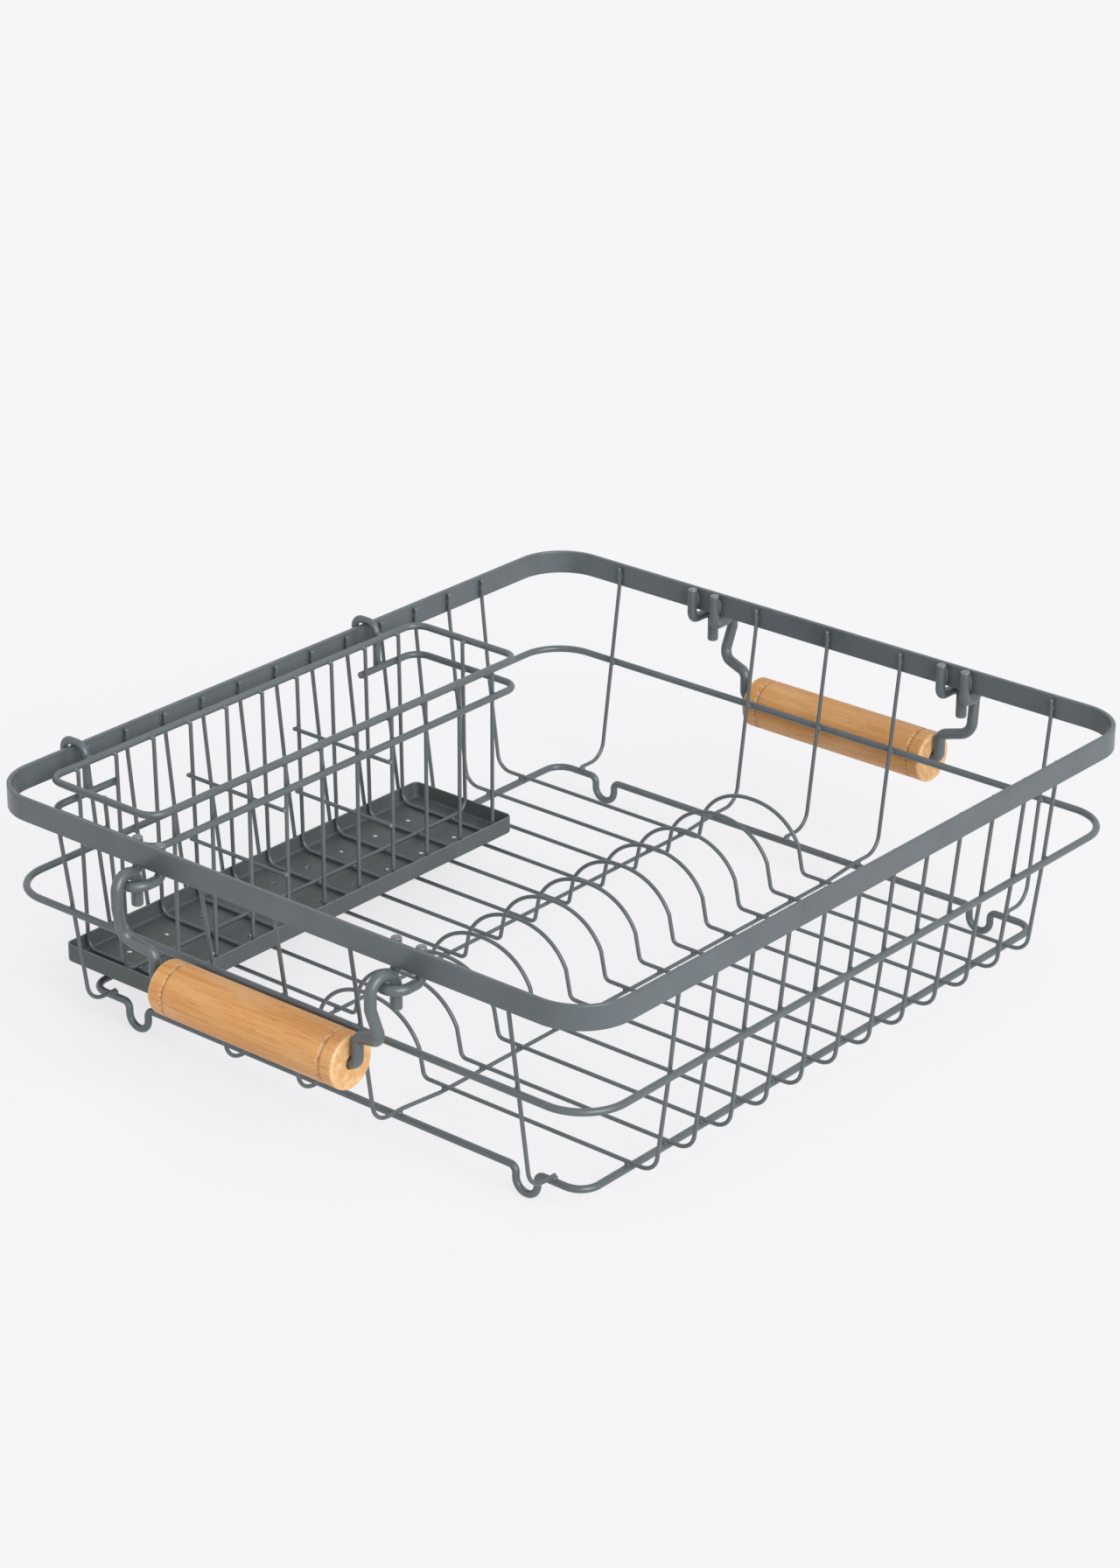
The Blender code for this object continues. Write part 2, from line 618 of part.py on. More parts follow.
def make_tray():
    """Shallow drip tray with rounded corners and drain holes."""
    middle = (BASKET_MIDDLE, TRAY_MIDDLE_Y)
    outer = rectangle(TRAY_LENGTH, TRAY_WIDTH, 0.0, middle)
    inner = rectangle(TRAY_LENGTH - TRAY_WALL * 2, TRAY_WIDTH - TRAY_WALL * 2, 0.0, middle)
    outer = round_corners(outer, TRAY_CORNER, CORNER_STEPS, True)
    inner = round_corners(inner, TRAY_CORNER - TRAY_WALL, CORNER_STEPS, True)
    tray = as_mesh(flat_solid("drip_tray", (outer,), TRAY_BOTTOM, TRAY_HEIGHT, PART), PART)
    well = flat_solid("tray_well", (inner,), TRAY_BOTTOM + TRAY_WALL, TRAY_HEIGHT, CUTTERS)
    edge = tray.modifiers.new("base_edge", "BEVEL")
    edge.width = TRAY_BASE_RADIUS
    edge.limit_method = "VGROUP"
    base = tray.vertex_groups.new(name="base")
    low = [v.index for v in tray.data.vertices if v.co.z < 0]
    base.add(low, 1.0, "REPLACE")
    edge.vertex_group = "base"
    cut(tray, as_mesh(well, CUTTERS))
    cut(tray, drain_holes())
    tray.data.materials.append(new_material("drip_tray_coat", TRAY_SLATE, 0.5, 0.3))


def centre_on_origin():
    """Shift every piece so that the origin is under the middle of the whole box."""
    shift = (HOOK_OUT_Y + HOOK_WIRE / 2 - RIM_WIDTH / 2) / 2
    for group in (PART, CUTTERS):
        for thing in group.objects:
            thing.location.y -= shift


clear_scene()
PART = new_collection("dish_drainer")
CUTTERS = new_collection("cutters")
make_rim()
make_mid_ring()
make_base_ring()
make_cross_wires()
make_end_wires()
make_rails()
make_handles()
make_top_ring()
make_second_ring()
make_basket_wires()
make_dividers()
make_basket_hooks()
make_tray()
centre_on_origin()
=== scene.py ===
import math

import bpy
import numpy as np
from mathutils import Matrix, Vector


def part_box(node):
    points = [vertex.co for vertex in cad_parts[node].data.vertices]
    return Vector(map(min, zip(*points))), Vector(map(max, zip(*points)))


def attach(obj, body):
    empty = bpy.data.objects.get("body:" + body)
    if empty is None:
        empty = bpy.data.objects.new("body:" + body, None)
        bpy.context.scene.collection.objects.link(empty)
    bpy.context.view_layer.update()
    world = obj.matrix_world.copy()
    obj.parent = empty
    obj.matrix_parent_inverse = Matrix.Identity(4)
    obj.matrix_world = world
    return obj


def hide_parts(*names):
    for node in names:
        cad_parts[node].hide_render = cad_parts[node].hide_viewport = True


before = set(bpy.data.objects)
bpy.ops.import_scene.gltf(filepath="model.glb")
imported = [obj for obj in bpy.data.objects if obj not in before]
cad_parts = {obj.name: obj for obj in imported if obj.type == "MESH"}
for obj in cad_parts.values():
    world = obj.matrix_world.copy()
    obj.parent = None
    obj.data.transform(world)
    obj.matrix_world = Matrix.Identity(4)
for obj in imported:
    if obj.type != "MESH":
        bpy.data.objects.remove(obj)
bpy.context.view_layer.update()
print("stage 1: frame loaded")


# Paths and surfaces

tiny = 1e-6        # nearer than this, two places are one


def nodeBox(node):
    low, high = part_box(node)
    return np.array(low), np.array(high)


def unit(vectors):
    return vectors / np.linalg.norm(vectors, axis=-1, keepdims=True)


# Straight runs joined by arcs. On an arc about c, from c + s to c + e through the angle a, the
# place at share t is c + (s sin((1 - t) a) + e sin(t a)) / sin a.
def bentPath(corners, radii, closed=False, steps=10):
    corners = np.array(corners, float)
    radii = np.broadcast_to(radii, len(corners))
    share = np.linspace(0, 1, steps + 1)[:, None]
    runs = []
    for k, corner in enumerate(corners):
        if radii[k] == 0:
            runs.append(corner[None])
            continue
        back = unit(corners[k - 1] - corner)
        ahead = unit(corners[(k + 1) % len(corners)] - corner)
        half = math.acos(back @ ahead) / 2
        centre = corner + unit(back + ahead) * radii[k] / math.sin(half)
        start = corner + back * radii[k] / math.tan(half) - centre
        end = corner + ahead * radii[k] / math.tan(half) - centre
        angle = math.pi - 2 * half
        arc = (start * np.sin((1 - share) * angle) + end * np.sin(share * angle)) / math.sin(angle)
        runs.append(centre + arc)
    path = np.concatenate(runs)
    keep = np.linalg.norm(path - np.roll(path, 1, 0), axis=1) > tiny
    keep[0] = keep[0] or not closed
    return path[keep]


def rectangle(length, width, z, middle=(0, 0)):
    signs = np.array([[1, -1], [1, 1], [-1, 1], [-1, -1]])
    level = np.array(middle) + signs * [length / 2, width / 2]
    return np.column_stack([level, np.full(4, z)])


# Four-sided faces between each ring of points and the next, closed around.
def gridFaces(rings, around, closed):
    i = np.arange(rings if closed else rings - 1)[:, None]
    j = np.arange(around)[None, :]
    nextI, nextJ = (i + 1) % rings, (j + 1) % around
    quads = [i * around + j, i * around + nextJ, nextI * around + nextJ, nextI * around + j]
    return np.stack(quads, -1).reshape(-1, 4).tolist()


# A profile carried along a path: place = path + grow (side u + up v), with side square to the
# path and to the direction "lay", and up square to both.
def carried(path, closed, lay, profile, grow=1.0):
    ahead = np.roll(path, -1, 0) - path
    behind = path - np.roll(path, 1, 0)
    if not closed:
        ahead[-1], behind[0] = behind[-1], ahead[0]
    tangent = unit(unit(ahead) + unit(behind))
    stretch = 1 / np.sqrt((1 + np.sum(unit(ahead) * unit(behind), 1)) / 2)
    side = unit(np.cross(tangent, lay))
    up = np.cross(tangent, side)
    size = (stretch * grow)[:, None, None]
    flat = side[:, None] * profile[None, :, :1] + up[:, None] * profile[None, :, 1:]
    return path[:, None] + flat * size


def newPiece(name, verts, faces, material, marks=None, sharpAngle=40):
    mesh = bpy.data.meshes.new(name)
    mesh.from_pydata(np.asarray(verts).reshape(-1, 3).tolist(), [], faces)
    mesh.materials.append(material)
    mesh.polygons.foreach_set("use_smooth", np.ones(len(mesh.polygons), bool))
    mesh.set_sharp_from_angle(angle=math.radians(sharpAngle))
    for key, values in (marks or {}).items():
        layer = mesh.attributes.new(key, "FLOAT", "POINT")
        layer.data.foreach_set("value", np.asarray(values, np.float32).ravel())
    mesh.update()
    piece = bpy.data.objects.new(name, mesh)
    bpy.context.scene.collection.objects.link(piece)
    return piece


def fit(piece, body, slotName, *nodes):
    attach(piece, body)
    if nodes:
        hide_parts(*nodes)


wireEnd = {"easing": 0.3, "wornLength": 0.0012, "steps": 5}


# A wire is a circle carried along its path. Cut ends are eased over by rings that step in along
# a quarter circle. The mark "wear" is 1 at a cut end and falls to 0 over a short length.
def newWire(node, body, path, diameter, lay, sides, closed=False):
    radius = diameter / 2
    angle = np.linspace(0, 2 * math.pi, sides, endpoint=False)
    circle = np.column_stack([np.cos(angle), np.sin(angle)]) * radius
    grow, wear = np.ones(len(path)), np.zeros(len(path))
    if not closed:
        turn = np.linspace(math.pi / 2, 0, wireEnd["steps"])
        inward = wireEnd["easing"] * radius * (1 - np.cos(np.pi / 2 - turn))
        first, last = unit(path[1] - path[0]), unit(path[-2] - path[-1])
        reach = np.concatenate([inward, [wireEnd["wornLength"]]])[:, None]
        head, tail = path[0] + first * reach, (path[-1] + last * reach)[::-1]
        size = np.concatenate([1 - wireEnd["easing"] * (1 - np.cos(turn)), [1]])
        fade = np.concatenate([np.ones(wireEnd["steps"]), [0]])
        path = np.concatenate([head, path[1:-1], tail])
        grow = np.concatenate([size, grow[1:-1], size[::-1]])
        wear = np.concatenate([fade, wear[1:-1], fade[::-1]])
    verts = carried(path + rackMiddle, closed, lay, circle, grow)
    faces = gridFaces(len(path), sides, closed)
    if not closed:
        faces.append(list(range(sides))[::-1])
        faces.append(list(range(len(path) * sides - sides, len(path) * sides)))
    piece = newPiece(node + "_coated", verts, faces, coatedWire, {"wear": np.repeat(wear, sides)})
    fit(piece, body, "coated_wire", node)


bead = {"rows": 5, "around": 10, "wear": 0.35}


# A weld is a small drop of metal run over with the coat: a sphere stretched to three half sizes.
def newWelds(name, body, welds):
    welds = np.concatenate(welds)
    rows, around = bead["rows"], bead["around"]
    tilt = np.linspace(-math.pi / 2, math.pi / 2, rows + 2)[1:-1][:, None]
    turn = np.linspace(0, 2 * math.pi, around, endpoint=False)[None, :]
    ball = np.stack([np.cos(tilt) * np.cos(turn), np.cos(tilt) * np.sin(turn), np.sin(tilt) + 0 * turn], -1)
    ball = np.concatenate([ball.reshape(-1, 3), [[0, 0, -1], [0, 0, 1]]])
    low, high, top = rows * around, rows * around + 1, (rows - 1) * around
    shell = gridFaces(rows, around, False)
    shell += [[low, (j + 1) % around, j] for j in range(around)]
    shell += [[high, top + j, top + (j + 1) % around] for j in range(around)]
    verts = welds[:, None, :3] + rackMiddle + ball[None] * welds[:, None, 3:]
    faces = [[index + k * len(ball) for index in face] for k in range(len(welds)) for face in shell]
    wear = np.full(len(welds) * len(ball), bead["wear"])
    fit(newPiece(name, verts, faces, coatedWire, {"wear": wear}), body, "coated_wire")


# Every x with every y, at one height or at the height of each y.
def spots(xs, ys, zs, halfSizes):
    xs, ys = np.atleast_1d(xs), np.atleast_1d(ys)
    zs = np.broadcast_to(zs, ys.shape)
    x, y = np.meshgrid(xs, ys, indexing="ij")
    z = np.broadcast_to(zs, x.shape)
    places = np.stack([x, y, z], -1).reshape(-1, 3)
    return np.hstack([places, np.broadcast_to(halfSizes, places.shape)])


# Materials

noiseLow, noiseHigh = 0.3, 0.7        # most of a noise lies between these


def addNode(tree, kind, inputs=None, **settings):
    made = tree.nodes.new(kind)
    for key, value in settings.items():
        setattr(made, key, value)
    for key, value in (inputs or {}).items():
        if isinstance(value, bpy.types.NodeSocket):
            tree.links.new(value, made.inputs[key])
        else:
            made.inputs[key].default_value = value
    return made


def calc(tree, operation, first, second=0.0, third=0.0):
    return addNode(tree, "ShaderNodeMath", {0: first, 1: second, 2: third}, operation=operation).outputs[0]


def blend(tree, factor, first, second):
    inputs = {0: factor, 6: first, 7: second}
    return addNode(tree, "ShaderNodeMix", inputs, data_type="RGBA").outputs[2]


def spread(tree, value, fromLow, fromHigh, toLow, toHigh):
    inputs = {"Value": value, "From Min": fromLow, "From Max": fromHigh, "To Min": toLow, "To Max": toHigh}
    return addNode(tree, "ShaderNodeMapRange", inputs).outputs[0]


def noise(tree, vector, scale, detail=2.0, roughness=0.5):
    inputs = {"Vector": vector, "Scale": scale, "Detail": detail, "Roughness": roughness}
    return addNode(tree, "ShaderNodeTexNoise", inputs).outputs[0]


def newMaterial(name):
    made = bpy.data.materials.new(name)
    made.use_nodes = True
    tree = made.node_tree
    tree.nodes.clear()
    shader = addNode(tree, "ShaderNodeBsdfPrincipled")
    output = addNode(tree, "ShaderNodeOutputMaterial")
    tree.links.new(shader.outputs[0], output.inputs["Surface"])
    return made, tree, shader


coatLook = {
    "peelScale": 1500.0,      # orange peel, about 0.7 mm from hump to hump
    "speckScale": 5200.0,     # grains of powder
    "patchScale": 42.0,       # slow changes over 2 to 3 cm
    "wearScale": 900.0,
    "patchShare": 0.10,
    "speckShare": 0.16,
    "speckHeight": 0.35,      # against the peel's height
    "patchRough": 0.05,
    "speckRough": 0.04,
    "rubbedSmooth": 0.08,     # how much smoother the rubbed places are
    "rubbed": (1.05, 1.4),    # wear and scuffs together, from where they show to where they cover
}


def powderCoatGroup():
    tree = bpy.data.node_groups.new("powderCoat", "ShaderNodeTree")
    ends = (("Vector", "INPUT", "NodeSocketVector"), ("Coat", "INPUT", "NodeSocketColor"),
            ("Worn", "INPUT", "NodeSocketColor"), ("Wear", "INPUT", "NodeSocketFloat"),
            ("Smoothness", "INPUT", "NodeSocketFloat"), ("Colour", "OUTPUT", "NodeSocketColor"),
            ("Roughness", "OUTPUT", "NodeSocketFloat"), ("Height", "OUTPUT", "NodeSocketFloat"))
    for name, way, kind in ends:
        tree.interface.new_socket(name, in_out=way, socket_type=kind)
    entry = addNode(tree, "NodeGroupInput").outputs
    peel = noise(tree, entry["Vector"], coatLook["peelScale"], 1.5)
    speck = noise(tree, entry["Vector"], coatLook["speckScale"], 1.0)
    patch = noise(tree, entry["Vector"], coatLook["patchScale"], 3.0)
    scuff = noise(tree, entry["Vector"], coatLook["wearScale"], 3.0, 0.6)

    def swing(value, size, middle=0):
        return spread(tree, value, noiseLow, noiseHigh, middle - size, middle + size)

    light = calc(tree, "ADD", swing(patch, coatLook["patchShare"], 1), swing(speck, coatLook["speckShare"]))
    tone = addNode(tree, "ShaderNodeHueSaturation", {"Color": entry["Coat"], "Value": light}).outputs[0]
    rubbed = spread(tree, calc(tree, "ADD", entry["Wear"], scuff), *coatLook["rubbed"], 0.0, 1.0)
    colour = blend(tree, rubbed, tone, entry["Worn"])
    rough = calc(tree, "ADD", entry["Smoothness"], swing(patch, coatLook["patchRough"]))
    rough = calc(tree, "ADD", rough, swing(speck, coatLook["speckRough"]))
    rough = calc(tree, "MULTIPLY_ADD", rubbed, -coatLook["rubbedSmooth"], rough)
    height = calc(tree, "MULTIPLY_ADD", speck, coatLook["speckHeight"], peel)
    leave = addNode(tree, "NodeGroupOutput", {"Colour": colour, "Roughness": rough, "Height": height})
    leave.is_active_output = True
    return tree


powderCoat = powderCoatGroup()


def coatMaterial(name, look):
    made, tree, shader = newMaterial(name)
    place = addNode(tree, "ShaderNodeTexCoord").outputs["Object"]
    wear = addNode(tree, "ShaderNodeAttribute", attribute_name="wear").outputs["Fac"]
    group = addNode(tree, "ShaderNodeGroup", node_tree=powderCoat)
    tree.links.new(place, group.inputs["Vector"])
    tree.links.new(wear, group.inputs["Wear"])
    group.inputs["Coat"].default_value = (*look["coat"], 1)
    group.inputs["Worn"].default_value = (*look["worn"], 1)
    group.inputs["Smoothness"].default_value = look["roughness"]
    bump = addNode(tree, "ShaderNodeBump", {"Height": group.outputs["Height"], "Strength": look["bump"],
                                            "Distance": look["bumpDepth"]})
    tree.links.new(group.outputs["Colour"], shader.inputs["Base Color"])
    tree.links.new(group.outputs["Roughness"], shader.inputs["Roughness"])
    tree.links.new(bump.outputs[0], shader.inputs["Normal"])
    shader.inputs["Metallic"].default_value = look["metallic"]
    return made


slate = {"coat": (0.114, 0.133, 0.145), "worn": (0.175, 0.192, 0.202), "roughness": 0.34, "metallic": 0.2,
         "bump": 0.5, "bumpDepth": 0.00004}
coatedWire = coatMaterial("coated_wire", slate)
coatedBar = coatMaterial("coated_bar", dict(slate, bumpDepth=0.00005))
# The tray has the wires' coat. Its darker colour here is painted shade, for the shade that falls into the
# tray inside the rack.
mattSlateWithPaintedShade = dict(slate, coat=(0.092, 0.107, 0.110), roughness=0.52, bumpDepth=0.00006)
sheetCoatWithPaintedShade = coatMaterial("coated_sheet", mattSlateWithPaintedShade)


# A mask is three numbers: the noise where it starts, the noise where it is full, and its full share.
grain = {
    "fibreScale": (1250.0, 16.0),     # across and along: bundles a little under a millimetre apart
    "bandScale": (150.0, 16.0 / 3),   # slow bands across the stick
    "fleckScale": (2100.0, 120.0),
    "poreScale": (2100.0, 15.0),
    "patchScale": (75.0, 22.0),       # paler and redder stretches, 1 to 2 cm wide
    "dashScale": (1000.0, 200.0),     # short marks along the stick in the ring's floor
    "spotScale": 330.0,               # spots of 3 mm on the cut ends
    "dotScale": 1900.0,               # cut fibres, half a millimetre apart
    "bandShare": 0.5,
    "fibreShare": 0.6,
    "tones": (0.42, 0.68, 1.0),
    "patches": (0.46, 0.70, 0.6),
    "flecks": (0.57, 0.72, 0.5),
    "spots": (0.40, 0.62, 1.0),
    "dots": (0.56, 0.70, 0.5),
    "dashes": (0.46, 0.60, 1.0),
    "endShare": 0.85,
    "ringShare": 0.85,
    "edgeHighlightShares": (0.35, 0.6, 0.9, 0.35),      # the fibre noise from and to, and the share there of the painted highlight along the cut ends' rounded edges
    "roughness": (0.46, 0.6),
    "poreHeight": 0.4,
    "bump": 0.5,
    "bumpDepth": 0.00012,
    "light": (0.755, 0.39, 0.135),
    "dark": (0.615, 0.272, 0.072),
    "fleck": (0.47, 0.18, 0.055),
    "pale": (0.76, 0.46, 0.235),
    "endTone": (0.66, 0.36, 0.145),
    "endPale": (0.78, 0.52, 0.27),
    "ringPale": (0.62, 0.37, 0.175),
    "ringTone": (0.42, 0.19, 0.07),
    # A painted highlight: a pale line along the rounded edges of the cut ends.
    "edgeHighlightTone": (0.88, 0.60, 0.33),
}


def bambooMaterial():
    made, tree, shader = newMaterial("bamboo")
    place = addNode(tree, "ShaderNodeTexCoord").outputs["Object"]

    def stretched(key, detail, roughness=0.5):
        across, along = grain[key]
        held = addNode(tree, "ShaderNodeMapping", {"Vector": place, "Scale": (across, along, across)})
        return noise(tree, held.outputs[0], 1.0, detail, roughness)

    def mask(value, key):
        low, high, most = grain[key]
        return spread(tree, value, low, high, 0.0, most)

    def mark(name):
        return addNode(tree, "ShaderNodeAttribute", attribute_name=name).outputs["Fac"]

    def tone(key):
        return *grain[key], 1

    fibre = stretched("fibreScale", 3.0, 0.6)
    band = stretched("bandScale", 2.0)
    fleck = stretched("fleckScale", 1.0)
    pores = stretched("poreScale", 0.0)
    patch = stretched("patchScale", 2.0)
    dash = stretched("dashScale", 1.0)
    spot = noise(tree, place, grain["spotScale"], 2.0)
    dot = noise(tree, place, grain["dotScale"], 1.0)
    share = calc(tree, "MULTIPLY", fibre, grain["fibreShare"])
    share = calc(tree, "MULTIPLY_ADD", band, grain["bandShare"], share)
    colour = blend(tree, mask(share, "tones"), tone("light"), tone("dark"))
    colour = blend(tree, mask(patch, "patches"), colour, tone("pale"))
    colour = blend(tree, mask(fleck, "flecks"), colour, tone("fleck"))
    cut = blend(tree, mask(spot, "spots"), tone("endTone"), tone("endPale"))
    cut = blend(tree, mask(dot, "dots"), cut, tone("fleck"))
    colour = blend(tree, calc(tree, "MULTIPLY", mark("endFace"), grain["endShare"]), colour, cut)
    # Painted highlight along the cut ends' rounded edges, broken up by the fibres.
    paintedHighlight = calc(tree, "MULTIPLY", mark("edge"), spread(tree, fibre, *grain["edgeHighlightShares"]))
    colour = blend(tree, paintedHighlight, colour, tone("edgeHighlightTone"))
    ringed = blend(tree, mask(dash, "dashes"), tone("ringPale"), tone("ringTone"))
    colour = blend(tree, calc(tree, "MULTIPLY", mark("ring"), grain["ringShare"]), colour, ringed)
    rough = spread(tree, fibre, noiseLow, noiseHigh, *grain["roughness"])
    height = calc(tree, "MULTIPLY_ADD", pores, grain["poreHeight"], fibre)
    bump = addNode(tree, "ShaderNodeBump", {"Height": height, "Strength": grain["bump"],
                                            "Distance": grain["bumpDepth"]})
    tree.links.new(colour, shader.inputs["Base Color"])
    tree.links.new(rough, shader.inputs["Roughness"])
    tree.links.new(bump.outputs[0], shader.inputs["Normal"])
    return made


bamboo = bambooMaterial()
print("stage 2: materials made")


# The rack's rim, rings and feet

rimLow, rimHigh = nodeBox("top_rim")
rackMiddle = np.array([0, (rimLow[1] + rimHigh[1]) / 2, 0])
rimEnd, rimSide = rimHigh[0], rimHigh[1] - rackMiddle[1]
rimTop, rimBottom = rimHigh[2], rimLow[2]

thin, thick = 0.0018, 0.0032
thinSides, thickSides, rodSides = 14, 20, 24
gap = 0.0003        # left between pieces that bear on each other

rim = {"thickness": 0.002, "corner": 0.0245, "cornerSteps": 24, "edge": 0.00045, "edgeSteps": 5,
       "worn": 0.0004, "edgeWear": 0.45, "middleWear": 0.2}
halfBar, halfTall, barMiddle = rim["thickness"] / 2, (rimTop - rimBottom) / 2, (rimTop + rimBottom) / 2


# The bar's section is a rectangle with small quarter rounds at its four edges.
def barProfile(edge):
    turn = np.linspace(0, math.pi / 2, rim["edgeSteps"])
    arc = np.column_stack([np.cos(turn), np.sin(turn)]) * edge
    quarters = []
    for sx, sy in ((1, 1), (-1, 1), (-1, -1), (1, -1)):
        points = arc * [sx, sy] + [sx * (halfBar - edge), sy * (halfTall - edge)]
        points = points if sx * sy > 0 else points[::-1]
        quarters.append(points)
    return np.concatenate(quarters)


# The section is carried along a rectangle with round corners. Points are added to it beside the
# rounds and in the middle of the narrow faces, so that the wear keeps to the edges.
def makeRim():
    corners = rectangle(rimEnd * 2 - rim["thickness"], rimSide * 2 - rim["thickness"], barMiddle)
    path = bentPath(corners, rim["corner"] - halfBar, True, rim["cornerSteps"])
    flat = halfTall - rim["edge"] - rim["worn"]
    added = [[halfBar, flat], [0, halfTall], [-halfBar, flat],
             [-halfBar, -flat], [0, -halfTall], [halfBar, -flat]]
    profile = np.insert(barProfile(rim["edge"]), np.array([0, 1, 2, 2, 3, 4]) * rim["edgeSteps"], added, 0)
    verts = carried(path + rackMiddle, True, (0, 0, 1), profile)
    faces = gridFaces(len(path), len(profile), True)
    across, up = abs(profile[:, 0]), abs(profile[:, 1])
    nearFace = np.minimum(abs(across - halfBar), abs(up - halfTall)) < rim["edge"]
    wear = np.where((across < halfBar - tiny) | (up > flat + tiny), rim["edgeWear"], 0.0)
    wear = np.where(across == 0, rim["middleWear"], wear) * nearFace
    marks = {"wear": np.tile(wear, len(path))}
    piece = newPiece("top_rim_coated", verts, faces, coatedBar, marks, sharpAngle=60)
    fit(piece, "rack", "coated_bar", "top_rim")


ring = {"endInset": 0.006, "sideInset": 0.0045, "drop": 0.0483, "corner": 0.021, "cornerSteps": 24}
midEnd, midSide, midZ = rimEnd - ring["endInset"], rimSide - ring["sideInset"], rimTop - ring["drop"]

base = {"endInset": 0.03025, "sideInset": 0.02755, "corner": 0.009, "footDepth": 0.0105, "footWidth": 0.0112,
        "footInset": 0.02915, "footTop": 0.003}
baseEnd, baseSide = rimEnd - base["endInset"], rimSide - base["sideInset"]
baseZ = thick / 2 + base["footDepth"]


# A rectangle with round corners, which dips into two feet at each end. A foot goes down, makes
# half a turn of half its width, and comes up again.
def makeBaseRing():
    half, low = base["footWidth"] / 2, baseZ - base["footDepth"]
    centre = baseSide - base["footInset"]
    ys = np.array([[-centre - half, -centre + half], [centre - half, centre + half]])
    side = [[baseEnd, -baseSide, baseZ]]
    for near, far in ys:
        side += [[baseEnd, near, baseZ], [baseEnd, near, low], [baseEnd, far, low], [baseEnd, far, baseZ]]
    side.append([baseEnd, baseSide, baseZ])
    radii = [base["corner"]] + [base["footTop"], half, half, base["footTop"]] * 2 + [base["corner"]]
    corners = np.concatenate([side, np.array(side) * [-1, -1, 1]])
    path = bentPath(corners, radii * 2, True)
    newWire("base_ring", "rack", path, thick, (1, 0, 1), thickSides, True)


# The middle ring is a level rectangle with round corners.
def makeRings():
    path = bentPath(rectangle(midEnd * 2, midSide * 2, midZ), ring["corner"], True, ring["cornerSteps"])
    newWire("mid_ring", "rack", path, thick, (0, 0, 1), thickSides, True)
    makeBaseRing()


makeRim()
makeRings()
print("stage 3: rim and rings")

# The rack's wires

wires = {"count": 12, "endInset": 0.02715, "topDrop": 0.0015, "rimBend": 0.004, "ringBend": 0.02,
         "bend": 0.008, "cornerOut": 0.0138, "archHalf": 0.030, "archRise": 0.0283, "archPower": 2.15,
         "archStart": 0.14, "archSteps": 41, "footBend": 0.003}
ends = {"sideInset": 0.0425, "cornerOut": 0.0145, "bend": 0.009, "tipInside": 0.0006, "dipStart": 0.002,
        "dipEnd": 0.002, "dipBend": 0.01}

floorZ = baseZ + (thick + thin) / 2 + gap
railZ = floorZ - thin - gap
behindRim = rim["thickness"] + thin / 2 + gap
onRing = (thick + thin) / 2 + gap
firstCross = baseEnd - wires["endInset"]
crossXs = np.linspace(-firstCross, firstCross, wires["count"])
endPitch = (rimSide - ends["sideInset"]) / 3
endYs = endPitch * np.array([-3, 0, 3])
railYs = endPitch * np.array([-1, 1])
wallBends = [0, wires["rimBend"], wires["ringBend"]]


# The path down the rack's wall: behind the bar, out to the inside of the middle ring, and in to
# the corner under the floor.
def wall(rimHalf, ringHalf, corner):
    behind = rimHalf - behindRim
    tip = (behind, rimTop - wires["topDrop"])
    return [tip, (behind, rimBottom), (ringHalf - onRing, midZ), (corner, floorZ)]


# The arch is a superellipse: across = half |cos a|^(2/p) with the sign of cos a, and
# up = rise (sin a)^(2/p), for a from its start share to the same share before the far end.
def makeCrossWires():
    turn = math.pi * np.linspace(wires["archStart"], 1 - wires["archStart"], wires["archSteps"])
    power = 2 / wires["archPower"]
    arch = np.column_stack([wires["archHalf"] * np.sign(np.cos(turn)) * abs(np.cos(turn)) ** power,
                            floorZ + wires["archRise"] * np.sin(turn) ** power])
    side = wall(rimSide, midSide, baseSide + wires["cornerOut"]) + [(wires["archHalf"], floorZ)]
    outline = np.concatenate([side, arch, np.array(side[::-1]) * [-1, 1]])
    half = wallBends + [wires["bend"], wires["footBend"]]
    radii = half + [0] * len(arch) + half[::-1]
    for k, x in enumerate(crossXs):
        path = bentPath(np.column_stack([np.full(len(outline), x), outline]), radii)
        newWire("cross_wire_%02d" % (k + 1), "rack", path, thin, (1, 0, 0), thinSides)


# The end wires stop on the base ring. The floor rails go on from end to end, and dip from the
# ring's top to below the cross wires.
def makeEndWires():
    side = wall(rimEnd, midEnd, baseEnd + ends["cornerOut"])
    outline = side + [(baseEnd - ends["tipInside"], floorZ)]
    for sign, tag in ((-1, "a"), (1, "b")):
        for k, y in enumerate(endYs):
            path = bentPath([(sign * x, y, z) for x, z in outline], wallBends + [ends["bend"], 0])
            newWire("end_wire_%s_%d" % (tag, k + 1), "rack", path, thin, (0, 1, 0), thinSides)
    half = side + [(baseEnd - ends["dipStart"], floorZ), (firstCross + ends["dipEnd"], railZ)]
    outline = half + [(-x, z) for x, z in half[::-1]]
    radii = wallBends + [ends["bend"], ends["dipBend"], ends["dipBend"]]
    for k, y in enumerate(railYs):
        path = bentPath([(x, y, z) for x, z in outline], radii + radii[::-1])
        newWire("floor_rail_%d" % (k + 1), "rack", path, thin, (0, 1, 0), thinSides)


makeCrossWires()
makeEndWires()
print("stage 4: rack wires")

# The handles

